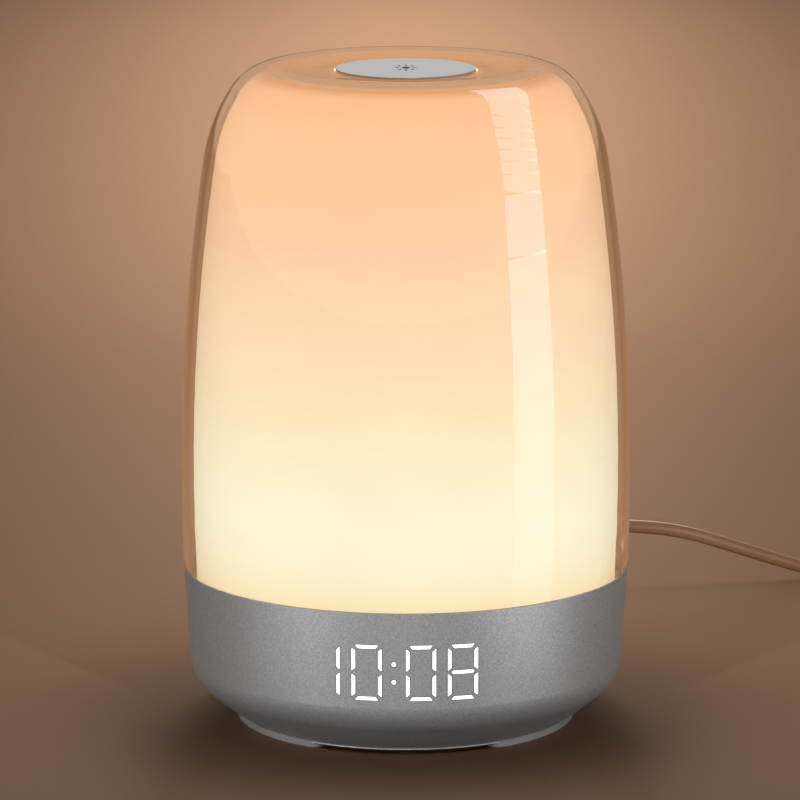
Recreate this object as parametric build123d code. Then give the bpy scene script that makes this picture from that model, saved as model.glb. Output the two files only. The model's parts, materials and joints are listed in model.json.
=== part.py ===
"""A sunrise alarm clock: a clear shell over an opal light, on a round base that hides its display.

Millimetres, +Z up, the front towards -Y. The origin is on the surface that the clock stands on, at
the middle of the body. Each function makes one piece, or one group of alike pieces, in its place.
"""
from build123d import *
from math import cos, degrees, pi, radians, sin, sqrt, tan
import os

# ---------------------------------------------------------------- the body
clock_h = 161.2  # standing height, to the crest of the shell
seam_z = 38.0  # height of the seam between the shell and the base
seam_r = 54.6  # outer radius at the seam
fit_gap = 0.1  # between parts that locate each other
loose_gap = 0.3  # between parts that only lie side by side

# the clear shell
shell_wall = 1.5
shell_splay = 2.36  # degrees that its side leans outward at the seam
shell_lean = 8.6  # degrees that it leans inward where the shoulder starts
shoulder_lean = 34.2  # degrees that it leans inward where the crown starts
shoulder_r = 42.4
crown_r = 13.0
dish_angle = 11.5  # slope of the dish just inside the crest, in degrees
tongue_h = 3.8  # how far the shell's tongue reaches into the base

# the light diffuser
diffuser_wall = 1.5
side_gap = 1.55  # air between the shell and the diffuser, at the sides
top_gap = 0.6  # and at the crown

# the touch disc and what clamps it
disc_r = 17.05
disc_t = 1.2
disc_sink = 0.7  # depth of its seat in the dish
disc_round = 0.2
stud_r = 2.0
stud_gap = 0.2
spacer_r = 7.0
washer_r = 5.0
washer_t = 0.8
terminal_t = 0.6
terminal_lap_w = 1.0  # of the terminal's tab over its ring
nut_flats = 7.0
nut_t = 2.4
stud_spare = 1.0  # stud left below the nut
lead_r = 0.6
crimp_r = 1.3
crimp_h = 5.0
crimp_x = 6.6
socket_size = 4.0  # the small socket on the LED board that takes the touch lead
socket_edge = 0.5

# ---------------------------------------------------------------- the base
base_wall = 2.4
rim_t = 0.75  # the base's rim outside the shell's tongue
seam_bevel = 0.15  # on the rim's outer edge, the fine groove of the seam
base_draft = 3.6  # degrees that its side leans inward towards the bottom
base_edge_r = 8.8
base_edge_turn = 46.0  # degrees that the lower edge turns under
base_under_r = 120.0
base_under_turn = 5.2
base_lip = 0.3  # height of the upright edge below the underside's curve
lip_t = 0.8  # wall left round the bottom cover
flange_w = 5.4  # ring that the bottom cover seats on, from the base's edge
flange_t = 2.0
foot_gap = 1.2  # height of the base and the cover over the surface
cover_t = 2.0
cover_round = 0.4
pillar_inset = 3.9  # from the base's bottom edge to the pillars' centres
pillar_r = 3.5
pilot_r = 1.05
pilot_depth = 12.0
web_h = 9.0  # webs that tie the pillars to the wall
web_t = 2.0
web_w = 8.0
pillar_azimuths = (0, 120, 240)  # degrees from the front

# the feet, the screws and the grille
foot_w = 5.0
foot_proud = 0.1  # how far the feet stand out past the base's edge
foot_turn = 58.0  # degrees
foot_sink = 0.4
foot_azimuths = {"left": -60, "right": 60, "rear": 180}
screw_head_r = 2.3
screw_head_h = 1.4
screw_head_edge = 0.45
screw_shank_r = 1.0
screw_hole_gap = 0.3
thread_bite = 8.0  # how far a screw reaches into its pilot hole
grille_slot_w = 1.6
grille_pitch = 3.6
grille_r = 14.0

# the light deck and the LED board
deck_drop = 3.0  # from the seam down to the deck's top
deck_t = 2.0
deck_ring_t = 1.2  # ring that centres the diffuser
deck_ring_h = 2.6
board_t = 1.6
led_board_inset = 4.5  # from that ring to the LED board
led_outer_r = 31.0  # the two rings of light sources
led_outer_count = 18
led_inner_r = 17.0
led_inner_count = 9
led_size = 5.0
led_h = 1.4
led_window_r = 2.0
led_window_depth = 0.4
header_x = 8.0
header_y = 12.0
header_size = 6.0
header_h = 5.0
wire_r = 0.6
wire_pitch = 2.5

# ---------------------------------------------------------------- the hidden display
display_x = -2.9
display_z = 23.3
digit_h = 13.6
digit_w = 7.1
digit_pitch = 9.95
colon_pitch = 12.9  # between the two digits beside the colon
colon_r = 0.6
colon_step = 4.4  # between the colon's dots
segment_t = 1.0
segment_gap = 0.95  # between the outer corners of two bars, along a digit's side
segment_mitre = 0.62  # how much shorter each end of a bar is at its inner edge
display_margin_x = 2.3
display_margin_z = 1.4
display_skin = 0.9  # wall left in front of the display
display_end_t = 1.4  # the light-pipe block's thickness at its thin end
pipe_gap = 0.05
display_board_t = 1.2
display_led_w = 0.8
display_led_h = 0.6

# ---------------------------------------------------------------- the rear controls
button_names = ("time", "alarm", "minus", "plus", "sound")
button_z = 28.0
button_pitch = 11.0
button_r = 3.75
button_gap = 0.2
button_proud = 0.8
button_flange_r = 4.6
button_flange_t = 1.2
button_wall_gap = 0.25
button_travel = 0.5
button_stem_r = 1.6
button_stem_min = 0.8
can_size = 6.2
can_h = 3.5
can_edge = 0.5
plunger_r = 1.7
plunger_proud = 1.5
plunger_foot_r = 2.2
plunger_foot_t = 0.6
plunger_gap = 0.12
rear_board_margin = 6.0
rear_board_low = 12.5
slot_depth = 1.2
slot_wall = 1.2
slot_post_w = 4.0
jack_z = 18.0
jack_body = 9.0
jack_nose_r = 4.0
jack_nose_gap = 0.2
jack_bore_r = 2.85
jack_bore_depth = 10.5
jack_pin_r = 1.0
jack_pin_short = 1.0
jack_pin_round = 0.6

# ---------------------------------------------------------------- the main board
board_gap = 1.0
main_board_z = 17.0
post_inset = 4.7
post_r = 2.5
post_azimuths = (45, 135, 225, 315)
cell_r = 10.0
cell_h = 3.2
cell_step = 0.6
holder_t = 1.2
holder_h = 4.4
holder_mouth_w = 10.0
cell_x = -12.5
cell_y = 0.0
cap_r = 3.15
cap_h = 7.7
cap_base = 6.6
cap_base_h = 1.0
cap_inset = 10.0  # from the board's edge to the capacitors' centres
cap_ys = (1.0, 9.0)
chip_spots = (  # x, y, width, depth and height of each package
    (10.0, -9.0, 10.0, 10.0, 1.4),
    (1.5, -17.0, 5.0, 6.0, 1.6),
    (1.5, -24.0, 5.0, 4.0, 1.6),
    (21.0, -9.0, 5.0, 6.0, 1.8),
)
ribbon_w = 8.0
ribbon_t = 0.6
ribbon_run = 3.2  # straight stretch at each end of a ribbon
ribbon_front_x = -9.0
ribbon_front_reach = 16.7  # from the display's back to its ribbon's socket
ribbon_rear_x = 3.0
ribbon_rear_reach = 9.5  # from the rear board to its ribbon's socket
ribbon_socket_wall = 1.0
ribbon_socket_d = 5.0
ribbon_socket_h = 4.0

# ---------------------------------------------------------------- the speaker
speaker_r = 18.0
speaker_edge = 2.0
speaker_gasket_t = 0.7
speaker_flange_t = 0.8
speaker_ring_t = 1.5
speaker_ring_h = 3.5
speaker_depth = 5.6  # from the flange to the magnet
speaker_step = 1.0  # ledge round the magnet's seat
speaker_windows = 4
speaker_window_w = 7.0
magnet_r = 11.0
magnet_h = 4.5
magnet_edge = 0.5
pole_r = 4.9
pole_h = 2.0
cone_t = 0.4
cone_depth = 2.5
dust_cap_r = 4.6
dust_cap_rise = 0.6
speaker_lead_inset = 1.0  # from the flange's edge to its two wires

# ---------------------------------------------------------------- the cord set
cord_r = 1.75
cord_length = 1500.0
arc_share = 0.45  # of the shorter run, that an arc of the route takes
barrel_r = 2.75
barrel_bore_r = 1.1
barrel_l = 9.5
barrel_floor = 1.0
plug_gap = 0.4  # between the plug's shoulder and the base's wall
plug_r = 4.75
plug_l = 18.0
plug_edge = 0.6
plug_shoulder = 1.2
relief_l = 14.0
relief_r = 3.5
relief_tip = 0.7  # wall of the strain relief at its thin end
relief_rings = 4
relief_slot_w = 1.2
relief_slot_depth = 0.5
coil_x, coil_y = 139.0, 105.0
coil_mid_r = 19.25
coil_columns = 4
coil_layers = 3
tie_t = 0.8
tie_angle = 18.0
tie_azimuth = 200.0
tail_offset = 5.25  # from the middle of the coil's windings out to the tail
usb_w = 15.5
usb_h = 8.0
usb_l = 24.0
usb_round = 2.4
usb_relief_r = 3.3
usb_relief_l = 10.0
usb_shell_w = 12.0
usb_shell_h = 4.5
usb_shell_l = 18.75
usb_shell_t = 0.3
usb_shell_round = 0.45
usb_window = 2.2  # the shell's two square latch windows
usb_window_pitch = 5.0
usb_window_back = 7.5  # from the grip to the windows' centres
usb_tongue_t = 1.9
usb_tongue_short = 1.0
usb_y = 82.0  # where the tail enters the USB plug's strain relief


# ---------------------------------------------------------------- helpers
def wall_r(z, inset=0.0):
    """Radius of the base's side at height z, or of a surface inset from it."""
    return seam_r - (seam_z - z) * tan(lean_side) - inset / cos(lean_side)


def chord(r, x):
    """Half the chord of a circle of radius r at distance x from its middle."""
    return sqrt(r * r - x * x)


def turned(outline):
    """The solid that a closed outline of (radius, height) sweeps about the Z axis."""
    return revolve(Plane.XZ * make_face(outline), Axis.Z)


def ring(r_in, r_out, low, high):
    return turned(Polyline((r_in, low), (r_out, low), (r_out, high), (r_in, high), close=True))


def post(r, x, y, low, high):
    """An upright rod."""
    return Pos(x, y, low) * Cylinder(r, high - low, align=BASE)


def rod(r, x, z, low, high):
    """A rod along Y."""
    return Pos(x, low, z) * Rot(-90, 0, 0) * Cylinder(r, high - low, align=BASE)


def block(x, y, z):
    """A box between two values of each coordinate."""
    middle = [(pair[0] + pair[1]) / 2 for pair in (x, y, z)]
    return Pos(*middle) * Box(x[1] - x[0], y[1] - y[0], z[1] - z[0])


def pad(x, y, low, width, depth, height):
    """A box that stands at low, centred on x and y."""
    return Pos(x, y, low) * Box(width, depth, height, align=BASE)


def spot(r, azimuth):
    """The point at radius r, azimuth degrees round from the front."""
    return r * sin(radians(azimuth)), -r * cos(radians(azimuth))


def spots(r, azimuths):
    return [spot(r, azimuth) for azimuth in azimuths]


def top_edges(solid):
    return solid.edges().group_by(Axis.Z)[-1]


def low_edges(solid):
    return solid.edges().group_by(Axis.Z)[0]


def write(name, *solids):
    """Write one piece, or a group of separate alike pieces, as parts/name.step."""
    shape = solids[0] if len(solids) == 1 else Compound(children=list(solids))
    export_step(shape, f"parts/{name}.step")


def crown_line(inset, lift, seat):
    """The shell's side, shoulder, crest and dish, inset from its outer face and lifted."""
    splay = radians(shell_splay)
    start = (seam_r - inset * cos(splay), seam_z + inset * sin(splay) + lift)
    side = JernArc(start, (sin(splay), cos(splay)), side_r - inset, shell_splay + shell_lean)
    shoulder = JernArc(side @ 1, side % 1, shoulder_r - inset, shoulder_lean - shell_lean)
    crest = JernArc(shoulder @ 1, shoulder % 1, crown_r - inset, 90 - shoulder_lean + dish_angle)
    dish_r = ((crest @ 1).X - seat) / sin(radians(dish_angle))
    dish = JernArc(crest @ 1, crest % 1, dish_r, -dish_angle)
    return [side, shoulder, crest, dish]


def foot_of(side, low):
    """Where a line of the crown's side, carried straight down from the seam, reaches low."""
    return (side @ 0).X - ((side @ 0).Y - low) * tan(radians(shell_splay)), low


def base_line(inset):
    """The base's lower edge and underside, inset from its outer face."""
    heading = (-sin(lean_side), -cos(lean_side))
    start = (
        wall_r(side_foot_z) - inset * cos(lean_side),
        side_foot_z + inset * sin(lean_side),
    )
    edge = JernArc(start, heading, base_edge_r - inset, -base_edge_turn)
    under = JernArc(edge @ 1, edge % 1, base_under_r - inset, -base_under_turn)
    return [edge, under]


def base_form(inset):
    """The base's whole form as one solid, inset from its outer face."""
    edge, under = base_line(inset)
    low = (under @ 1).Y
    return turned([
        Polyline((0, low), (0, seam_z), (wall_r(seam_z, inset), seam_z), edge @ 0),
        edge,
        under,
        Line(under @ 1, (0, low)),
    ])


def button_flange_y(x):
    """Inner face of the flange of the button at x."""
    inner_r = wall_r(button_z - button_flange_r, base_wall + button_wall_gap)
    return chord(inner_r, abs(x) + button_flange_r) - button_flange_t


def screw(x, y, head_z, length):
    """A pan-head screw that points up, its head's underside at head_z."""
    head = post(screw_head_r, x, y, head_z, head_z + screw_head_h)
    head = chamfer(low_edges(head), screw_head_edge)
    return head + post(screw_shank_r, x, y, head_z + screw_head_h, head_z + length)


def screw_down(x, y, seat_z, length):
    """The same screw from above, its head on seat_z."""
    head = post(screw_head_r, x, y, seat_z, seat_z + screw_head_h)
    head = chamfer(top_edges(head), screw_head_edge)
    return head + post(screw_shank_r, x, y, seat_z - length, seat_z)


# ---------------------------------------------------------------- what follows from the sizes
BASE = (Align.CENTER, Align.CENTER, Align.MIN)

side_r = (
    clock_h
    - seam_z
    - shoulder_r * (sin(radians(shoulder_lean)) - sin(radians(shell_lean)))
    - crown_r * (1 - sin(radians(shoulder_lean)))
) / (sin(radians(shell_lean)) + sin(radians(shell_splay)))
rim_r = seam_r - rim_t
diffuser_inset = shell_wall + side_gap
diffuser_lift = side_gap - top_gap

disc_seat_r = disc_r + loose_gap
disc_floor_z = (crown_line(0, 0, disc_seat_r)[-1] @ 1).Y - disc_sink
shell_flat_z = disc_floor_z - shell_wall
diffuser_flat_z = shell_flat_z - top_gap
washer_z = diffuser_flat_z - diffuser_wall - washer_t
terminal_z = washer_z - terminal_t
nut_z = terminal_z - nut_t

cover_top_z = foot_gap + cover_t
base_end_z = foot_gap + base_lip
lean_side = radians(base_draft)
lean_edge = lean_side + radians(base_edge_turn)
lean_under = lean_edge + radians(base_under_turn)
side_foot_z = (
    base_end_z
    + base_edge_r * (sin(lean_edge) - sin(lean_side))
    + base_under_r * (sin(lean_under) - sin(lean_edge))
)
base_end_r = (
    wall_r(side_foot_z)
    - base_edge_r * (cos(lean_side) - cos(lean_edge))
    - base_under_r * (cos(lean_edge) - cos(lean_under))
)
lip_in_r = base_end_r - lip_t
cover_r = lip_in_r - fit_gap
pillar_ring_r = base_end_r - pillar_inset
foot_out_r = base_end_r + foot_proud
foot_mid_r = foot_out_r - foot_w / 2

deck_top_z = seam_z - deck_drop
deck_z = deck_top_z - deck_t
deck_r = wall_r(deck_z, base_wall) - 2 * fit_gap
diffuser_foot = foot_of(
    crown_line(diffuser_inset + diffuser_wall, diffuser_lift, disc_seat_r)[0], deck_top_z
)
deck_ring_r = diffuser_foot[0] - 2 * fit_gap
led_board_r = deck_ring_r - deck_ring_t - led_board_inset
led_top_z = deck_top_z + board_t

display_half_w = colon_pitch / 2 + digit_pitch + digit_w / 2 + display_margin_x
display_half_h = digit_h / 2 + display_margin_z
display_low_z = display_z - display_half_h
display_back_y = display_end_t - chord(
    wall_r(display_low_z, base_wall), abs(display_x) + display_half_w
)

switch_h = can_h + plunger_proud
button_xs = [(i - (len(button_names) - 1) / 2) * button_pitch for i in range(len(button_names))]
rear_y = button_flange_y(button_xs[-1]) - button_stem_min - switch_h  # the rear board's outer face
rear_half_w = button_xs[-1] + rear_board_margin
rear_board_top = deck_z - loose_gap
plunger_foot_y = rear_y + can_h / 2
jack_nose_y = wall_r(jack_z) - loose_gap

main_board_r = pillar_ring_r - pillar_r - board_gap
main_top_z = main_board_z + board_t
socket_top_z = main_top_z + ribbon_socket_h
post_ring_r = main_board_r - post_inset
ribbon_front_y = display_back_y + ribbon_front_reach
ribbon_rear_y = rear_y - ribbon_rear_reach

speaker_z = cover_top_z + speaker_gasket_t
speaker_back_z = speaker_z + speaker_depth
cone_edge_r = speaker_r - speaker_edge - fit_gap
basket_r = cone_edge_r - speaker_edge / 2

plug_y = wall_r(jack_z) + plug_gap
cord_y = plug_y + plug_l + relief_l
coil_low_z = tie_t
coil_high_z = coil_low_z + coil_layers * 2 * cord_r
usb_x = coil_x + coil_mid_r + tail_offset
usb_z = usb_h / 2
usb_face_y = usb_y - usb_relief_l - usb_l

# The free lead, from the strain relief to the coil, and the tail from the coil to the USB plug, each
# by the points that its runs aim at.
lead_route = [
    (0.0, cord_y, jack_z),
    (0.0, cord_y + 16.0, jack_z),
    (7.0, cord_y + 31.5, jack_z),
    (24.0, cord_y + 41.5, jack_z - 0.4),
    (44.0, 129.5, jack_z - 0.7),
    (62.0, 129.8, jack_z - 1.2),
    (75.0, 131.0, jack_z - 2.8),
    (88.0, 133.4, jack_z - 7.2),
    (101.0, 136.0, cord_r + 4.3),
    (111.0, 137.0, cord_r + 1.2),
    (121.0, 134.6, cord_r + 0.3),
    (131.0, 130.6, coil_low_z + cord_r),
]
lead_tail = [
    (usb_x, usb_y + 12.0, usb_z + 1.4),
    (usb_x, usb_y + 8.0, usb_z + 0.6),
    (usb_x, usb_y + 4.0, usb_z),
    (usb_x, usb_y, usb_z),
]


# ---------------------------------------------------------------- the light
def outer_shell():
    outer = crown_line(0, 0, disc_seat_r)
    inner = crown_line(shell_wall, 0, disc_seat_r + shell_wall)
    hole_r = stud_r + stud_gap
    inner_foot = inner[0] @ 0
    return turned([
        *outer,
        Polyline(
            outer[-1] @ 1,
            (disc_seat_r, disc_floor_z),
            (hole_r, disc_floor_z),
            (hole_r, shell_flat_z),
            (disc_seat_r + shell_wall, shell_flat_z),
            inner[-1] @ 1,
        ),
        *inner,
        Polyline(
            inner_foot,
            (inner_foot.X, seam_z - tongue_h),
            (rim_r - fit_gap, seam_z - tongue_h),
            (rim_r - fit_gap, seam_z),
            outer[0] @ 0,
        ),
    ])


def diffuser():
    outer_seat = disc_seat_r + diffuser_inset
    inner_seat = outer_seat + diffuser_wall
    outer = crown_line(diffuser_inset, diffuser_lift, outer_seat)
    inner = crown_line(diffuser_inset + diffuser_wall, diffuser_lift, inner_seat)
    hole_r = stud_r + stud_gap
    return turned([
        *outer,
        Polyline(
            outer[-1] @ 1,
            (outer_seat, diffuser_flat_z),
            (hole_r, diffuser_flat_z),
            (hole_r, diffuser_flat_z - diffuser_wall),
            (inner_seat, diffuser_flat_z - diffuser_wall),
            inner[-1] @ 1,
        ),
        *inner,
        Polyline(
            inner[0] @ 0,
            foot_of(inner[0], deck_top_z),
            foot_of(outer[0], deck_top_z),
            outer[0] @ 0,
        ),
    ])


def touch_disc():
    face = ring(0, disc_r, disc_floor_z, disc_floor_z + disc_t)
    face = fillet(top_edges(face), disc_round)
    return face + post(stud_r, 0, 0, nut_z - stud_spare, disc_floor_z)


def stud_nut():
    body = extrude(Pos(0, 0, nut_z) * RegularPolygon(nut_flats / 2, 6, major_radius=False), nut_t)
    cone = Pos(0, 0, nut_z) * Cone(nut_flats / 2, nut_flats / 2 + nut_t, nut_t, align=BASE)
    return (body & cone) - post(stud_r + pipe_gap, 0, 0, nut_z, nut_z + nut_t)


def touch_lead():
    """The ring terminal under the washer, its crimp, and the wire down to the LED board."""
    eye = ring(stud_r + fit_gap, washer_r - 2 * fit_gap, terminal_z, washer_z)
    tab = block((washer_r - terminal_lap_w, crimp_x), (-crimp_r, crimp_r), (terminal_z, washer_z))
    crimp = post(crimp_r, crimp_x, 0, washer_z - crimp_h, washer_z)
    wire = post(lead_r, crimp_x, 0, led_top_z + socket_size, washer_z - crimp_h)
    return eye + tab + crimp + wire


def touch_socket():
    body = pad(crimp_x, 0, led_top_z, socket_size, socket_size, socket_size)
    return chamfer(top_edges(body), socket_edge)


def light_deck():
    deck = ring(0, deck_r, deck_z, deck_top_z)
    deck += ring(deck_ring_r - deck_ring_t, deck_ring_r, deck_top_z, deck_top_z + deck_ring_h)
    for x, y in spots(pillar_ring_r, pillar_azimuths):
        deck -= post(screw_shank_r + screw_hole_gap, x, y, deck_z, deck_top_z)
    slot = header_size + 2 * loose_gap
    return deck - pad(header_x, header_y, deck_z, slot, slot, deck_t)


def led_board():
    board = ring(0, led_board_r, deck_top_z, led_top_z)
    for x, y in spots(pillar_ring_r, pillar_azimuths):
        board -= post(screw_shank_r + screw_hole_gap, x, y, deck_top_z, led_top_z)
    return board


def leds():
    """The light sources, each a square package with a round window."""
    package = pad(0, 0, 0, led_size, led_size, led_h)
    package -= post(led_window_r, 0, 0, led_h - led_window_depth, led_h)
    placed = []
    for r, count in ((led_outer_r, led_outer_count), (led_inner_r, led_inner_count)):
        for i in range(count):
            azimuth = (i + 0.5) * 360 / count
            x, y = spot(r, azimuth)
            placed.append(Pos(x, y, led_top_z) * Rot(0, 0, azimuth) * package)
    return placed


def led_header():
    return pad(header_x, header_y, deck_top_z - header_h, header_size, header_size, header_h)


def led_lead():
    """The wires from the LED header to the main board's socket."""
    high = deck_top_z - header_h
    xs = (header_x - wire_pitch / 2, header_x + wire_pitch / 2)
    return [post(wire_r, x, header_y, socket_top_z, high) for x in xs]


def deck_screws():
    length = board_t + deck_t + thread_bite
    return [screw_down(x, y, led_top_z, length) for x, y in spots(pillar_ring_r, pillar_azimuths)]


# ---------------------------------------------------------------- the base
def base_housing():
    outer = base_line(0)
    inner = base_line(base_wall)
    ledge_z = seam_z - tongue_h - 2 * fit_gap
    bevel_z = seam_z - seam_bevel
    housing = turned([
        Polyline((seam_r - seam_bevel, seam_z), (wall_r(bevel_z), bevel_z), outer[0] @ 0),
        *outer,
        Polyline(
            outer[1] @ 1,
            (base_end_r, foot_gap),
            (lip_in_r, foot_gap),
            (lip_in_r, cover_top_z),
            inner[1] @ 1,
        ),
        *inner,
        Polyline(
            inner[0] @ 0,
            (wall_r(ledge_z, base_wall), ledge_z),
            (rim_r, ledge_z),
            (rim_r, seam_z),
            (seam_r - seam_bevel, seam_z),
        ),
    ])
    inside = base_form(base_wall / 2)
    flange = ring(base_end_r - flange_w, seam_r, cover_top_z, cover_top_z + flange_t)
    housing += flange & inside
    pillars = spots(pillar_ring_r, pillar_azimuths)
    for azimuth, (x, y) in zip(pillar_azimuths, pillars):
        web = Rot(0, 0, azimuth) * block(
            (-web_t / 2, web_t / 2),
            (-pillar_ring_r - web_w, -pillar_ring_r),
            (cover_top_z, cover_top_z + web_h),
        )
        housing += post(pillar_r, x, y, cover_top_z, deck_z) + (web & inside)
    stop_y = display_back_y + display_board_t + loose_gap
    housing += block((-pillar_r, pillar_r), (stop_y, -pillar_ring_r), (display_low_z, deck_z))
    for side in (-1, 1):
        housing += board_post(side) & inside
    for x, y in pillars:
        housing -= post(pilot_r, x, y, cover_top_z, cover_top_z + pilot_depth)
        housing -= post(pilot_r, x, y, deck_z - pilot_depth, deck_z)
    for azimuth in foot_azimuths.values():
        housing -= foot_arc(azimuth, fit_gap, foot_gap, foot_gap + foot_sink)
    housing -= display_box(loose_gap / 2) & base_form(display_skin)
    for x in button_xs:
        housing -= rod(button_r + button_gap, x, button_z, rear_y + switch_h, seam_r)
    return housing - rod(jack_nose_r + jack_nose_gap, 0, jack_z, rear_y + switch_h, seam_r)


def board_post(side):
    """An upright post beside the rear board, with the slot that the board slides down."""
    edge = rear_half_w - slot_depth
    y_low = rear_y - board_t - fit_gap - slot_wall
    y_high = rear_y + fit_gap + slot_wall
    outside = block(
        sorted((side * edge, side * (edge + slot_post_w))), (y_low, y_high), (0, rear_board_top)
    )
    slot = block(
        sorted((side * (edge - slot_depth), side * (rear_half_w + fit_gap))),
        (y_low + slot_wall, y_high - slot_wall),
        (rear_board_low, rear_board_top),
    )
    return outside - slot


def display_box(grow):
    """The room that the light-pipe block takes, from its flat back to beyond the wall."""
    half_w = display_half_w + grow
    half_h = display_half_h + grow
    return block(
        (display_x - half_w, display_x + half_w),
        (-seam_r, display_back_y),
        (display_z - half_h, display_z + half_h),
    )


def bottom_cover():
    cover = ring(0, cover_r, foot_gap, cover_top_z)
    cover = fillet(low_edges(cover), cover_round)
    for azimuth in foot_azimuths.values():
        cover -= foot_arc(azimuth, fit_gap, foot_gap, foot_gap + foot_sink)
    locator_r = speaker_r + 2 * fit_gap
    cover += ring(locator_r, locator_r + speaker_ring_t, cover_top_z, cover_top_z + speaker_ring_h)
    for x, y in spots(post_ring_r, post_azimuths):
        cover += post(post_r, x, y, cover_top_z, main_board_z)
        cover -= post(pilot_r, x, y, main_board_z - pilot_depth, main_board_z)
    for x, y in spots(pillar_ring_r, pillar_azimuths):
        cover -= post(screw_shank_r + screw_hole_gap, x, y, foot_gap, cover_top_z)
        cover -= post(screw_head_r + fit_gap, x, y, foot_gap, foot_gap + screw_head_h / 2)
    rows = int(grille_r / grille_pitch)
    for i in range(-rows, rows + 1):
        length = 2 * chord(grille_r + grille_slot_w, i * grille_pitch)
        slot = Pos(0, i * grille_pitch, foot_gap) * SlotOverall(length, grille_slot_w)
        cover -= extrude(slot, cover_t)
    return cover


def foot_arc(azimuth, grow, low, high):
    """An arc-shaped pad with round ends, centred at azimuth."""
    half = foot_w / 2 + grow
    turn = foot_turn - degrees(foot_w / foot_mid_r)
    reach = 2 * foot_out_r
    wedge = Polyline(
        (0, 0), spot(reach, -turn / 2), spot(reach, 0), spot(reach, turn / 2), close=True
    )
    wedge = Pos(0, 0, low) * Rot(0, 0, azimuth) * extrude(make_face(wedge), high - low)
    arc = ring(foot_mid_r - half, foot_mid_r + half, low, high) & wedge
    for x, y in spots(foot_mid_r, (azimuth - turn / 2, azimuth + turn / 2)):
        arc += post(half, x, y, low, high)
    return arc


def foot(azimuth):
    return foot_arc(azimuth, 0, 0, foot_gap + foot_sink)


def cover_screws():
    head_z = foot_gap - screw_head_h / 2
    length = screw_head_h + cover_t + thread_bite
    return [screw(x, y, head_z, length) for x, y in spots(pillar_ring_r, pillar_azimuths)]


# ---------------------------------------------------------------- the display
def segment_bars():
    """Outlines, in the display's plane, of every segment and of the colon's dots."""
    half_w = (digit_w - segment_t) / 2
    half_h = (digit_h - segment_t) / 4
    upright = [(side * half_w, row * half_h, -side * 90) for side in (-1, 1) for row in (-1, 1)]
    level = [(0, row * 2 * half_h, 90 - row * 90) for row in (-1, 1)]
    digits = [side * (colon_pitch / 2 + i * digit_pitch) for side in (-1, 1) for i in (0, 1)]
    bars = []
    for x in sorted(digits):
        for dx, dz, turn in level + upright:
            length = 2 * (half_h if dx else half_w) - segment_gap
            bars.append(Pos(x + dx, dz) * Rot(0, 0, turn) * outer_bar(length))
        bars.append(Pos(x, 0) * middle_bar(2 * half_w - segment_gap))
    dots = [Pos(0, dz) * Circle(colon_r) for dz in (-colon_step / 2, colon_step / 2)]
    return bars, dots


def outer_bar(length):
    """A bar of a digit's rim, its longer edge outermost, which is upwards here."""
    tip, half = length / 2, segment_t / 2
    short = tip - segment_mitre
    return make_face(Polyline((-tip, half), (tip, half), (short, -half), (-short, -half), close=True))


def middle_bar(length):
    """The bar across a digit's middle, pointed at both ends."""
    tip, half = length / 2, segment_t / 2
    shoulder = tip - half
    return make_face(Polyline(
        (-tip, 0), (-shoulder, half), (shoulder, half),
        (tip, 0), (shoulder, -half), (-shoulder, -half),
        close=True,
    ))


def through(outline, y_low, y_high):
    """An outline of the display's plane pushed along Y."""
    plane = Plane((display_x, y_high, display_z), x_dir=(1, 0, 0), z_dir=(0, -1, 0))
    return extrude(plane * outline, y_high - y_low)


def light_pipe_block():
    """The opaque block behind the wall, with a straight window for every segment and dot."""
    body = display_box(0) & base_form(display_skin + 2 * fit_gap)
    bars, dots = segment_bars()
    outlines = [offset(outline, pipe_gap, kind=Kind.INTERSECTION) for outline in bars]
    outlines += [offset(outline, pipe_gap) for outline in dots]
    return body - [through(outline, -seam_r, display_back_y) for outline in outlines]


def light_pipes():
    """The clear pipes that fill the windows, from over the LEDs to the block's front."""
    front = base_form(display_skin + 2 * fit_gap)
    bars, dots = segment_bars()
    back = display_back_y - display_led_h - pipe_gap
    return [through(outline, -seam_r, back) & front for outline in bars + dots]


def display_board():
    half_w = display_half_w + loose_gap
    return block(
        (display_x - half_w, display_x + half_w),
        (display_back_y, display_back_y + display_board_t),
        (display_low_z, display_z + display_half_h),
    )


def display_leds():
    """One chip behind each segment and dot."""
    bars, dots = segment_bars()
    centres = [outline.center() for outline in bars + dots]
    half = display_led_w / 2
    return [
        block(
            (display_x + c.X - half, display_x + c.X + half),
            (display_back_y - display_led_h, display_back_y),
            (display_z + c.Y - half, display_z + c.Y + half),
        )
        for c in centres
    ]


def ribbon(points, x):
    """A flat cable: a bent strip in a plane of constant X."""
    path = FilletPolyline(*points, radius=corner_radii(points))
    strip = extrude(trace(path, ribbon_t), ribbon_w)
    plane = Plane((x - ribbon_w / 2, 0, 0), x_dir=(0, 1, 0), z_dir=(1, 0, 0))
    return plane * strip


def display_ribbon():
    start_y = display_back_y + display_board_t
    points = [
        (start_y, display_z),
        (start_y + ribbon_run, display_z),
        (ribbon_front_y, socket_top_z + ribbon_run),
        (ribbon_front_y, socket_top_z),
    ]
    return ribbon(points, ribbon_front_x)


def rear_ribbon():
    start_y = rear_y - board_t
    points = [
        (start_y, button_z),
        (start_y - ribbon_run, button_z),
        (ribbon_rear_y, socket_top_z + ribbon_run),
        (ribbon_rear_y, socket_top_z),
    ]
    return ribbon(points, ribbon_rear_x)


# ---------------------------------------------------------------- the rear controls
def button(x):
    """A cap that follows the wall's curve, its retaining flange and its stem."""
    flange_y = button_flange_y(x)
    cap = rod(button_r, x, button_z, flange_y, seam_r + button_proud) & base_form(-button_proud)
    flange = rod(button_flange_r, x, button_z, flange_y, seam_r)
    flange &= base_form(base_wall + button_wall_gap)
    stem = rod(button_stem_r, x, button_z, rear_y + switch_h, flange_y)
    return cap + flange + stem


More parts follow.
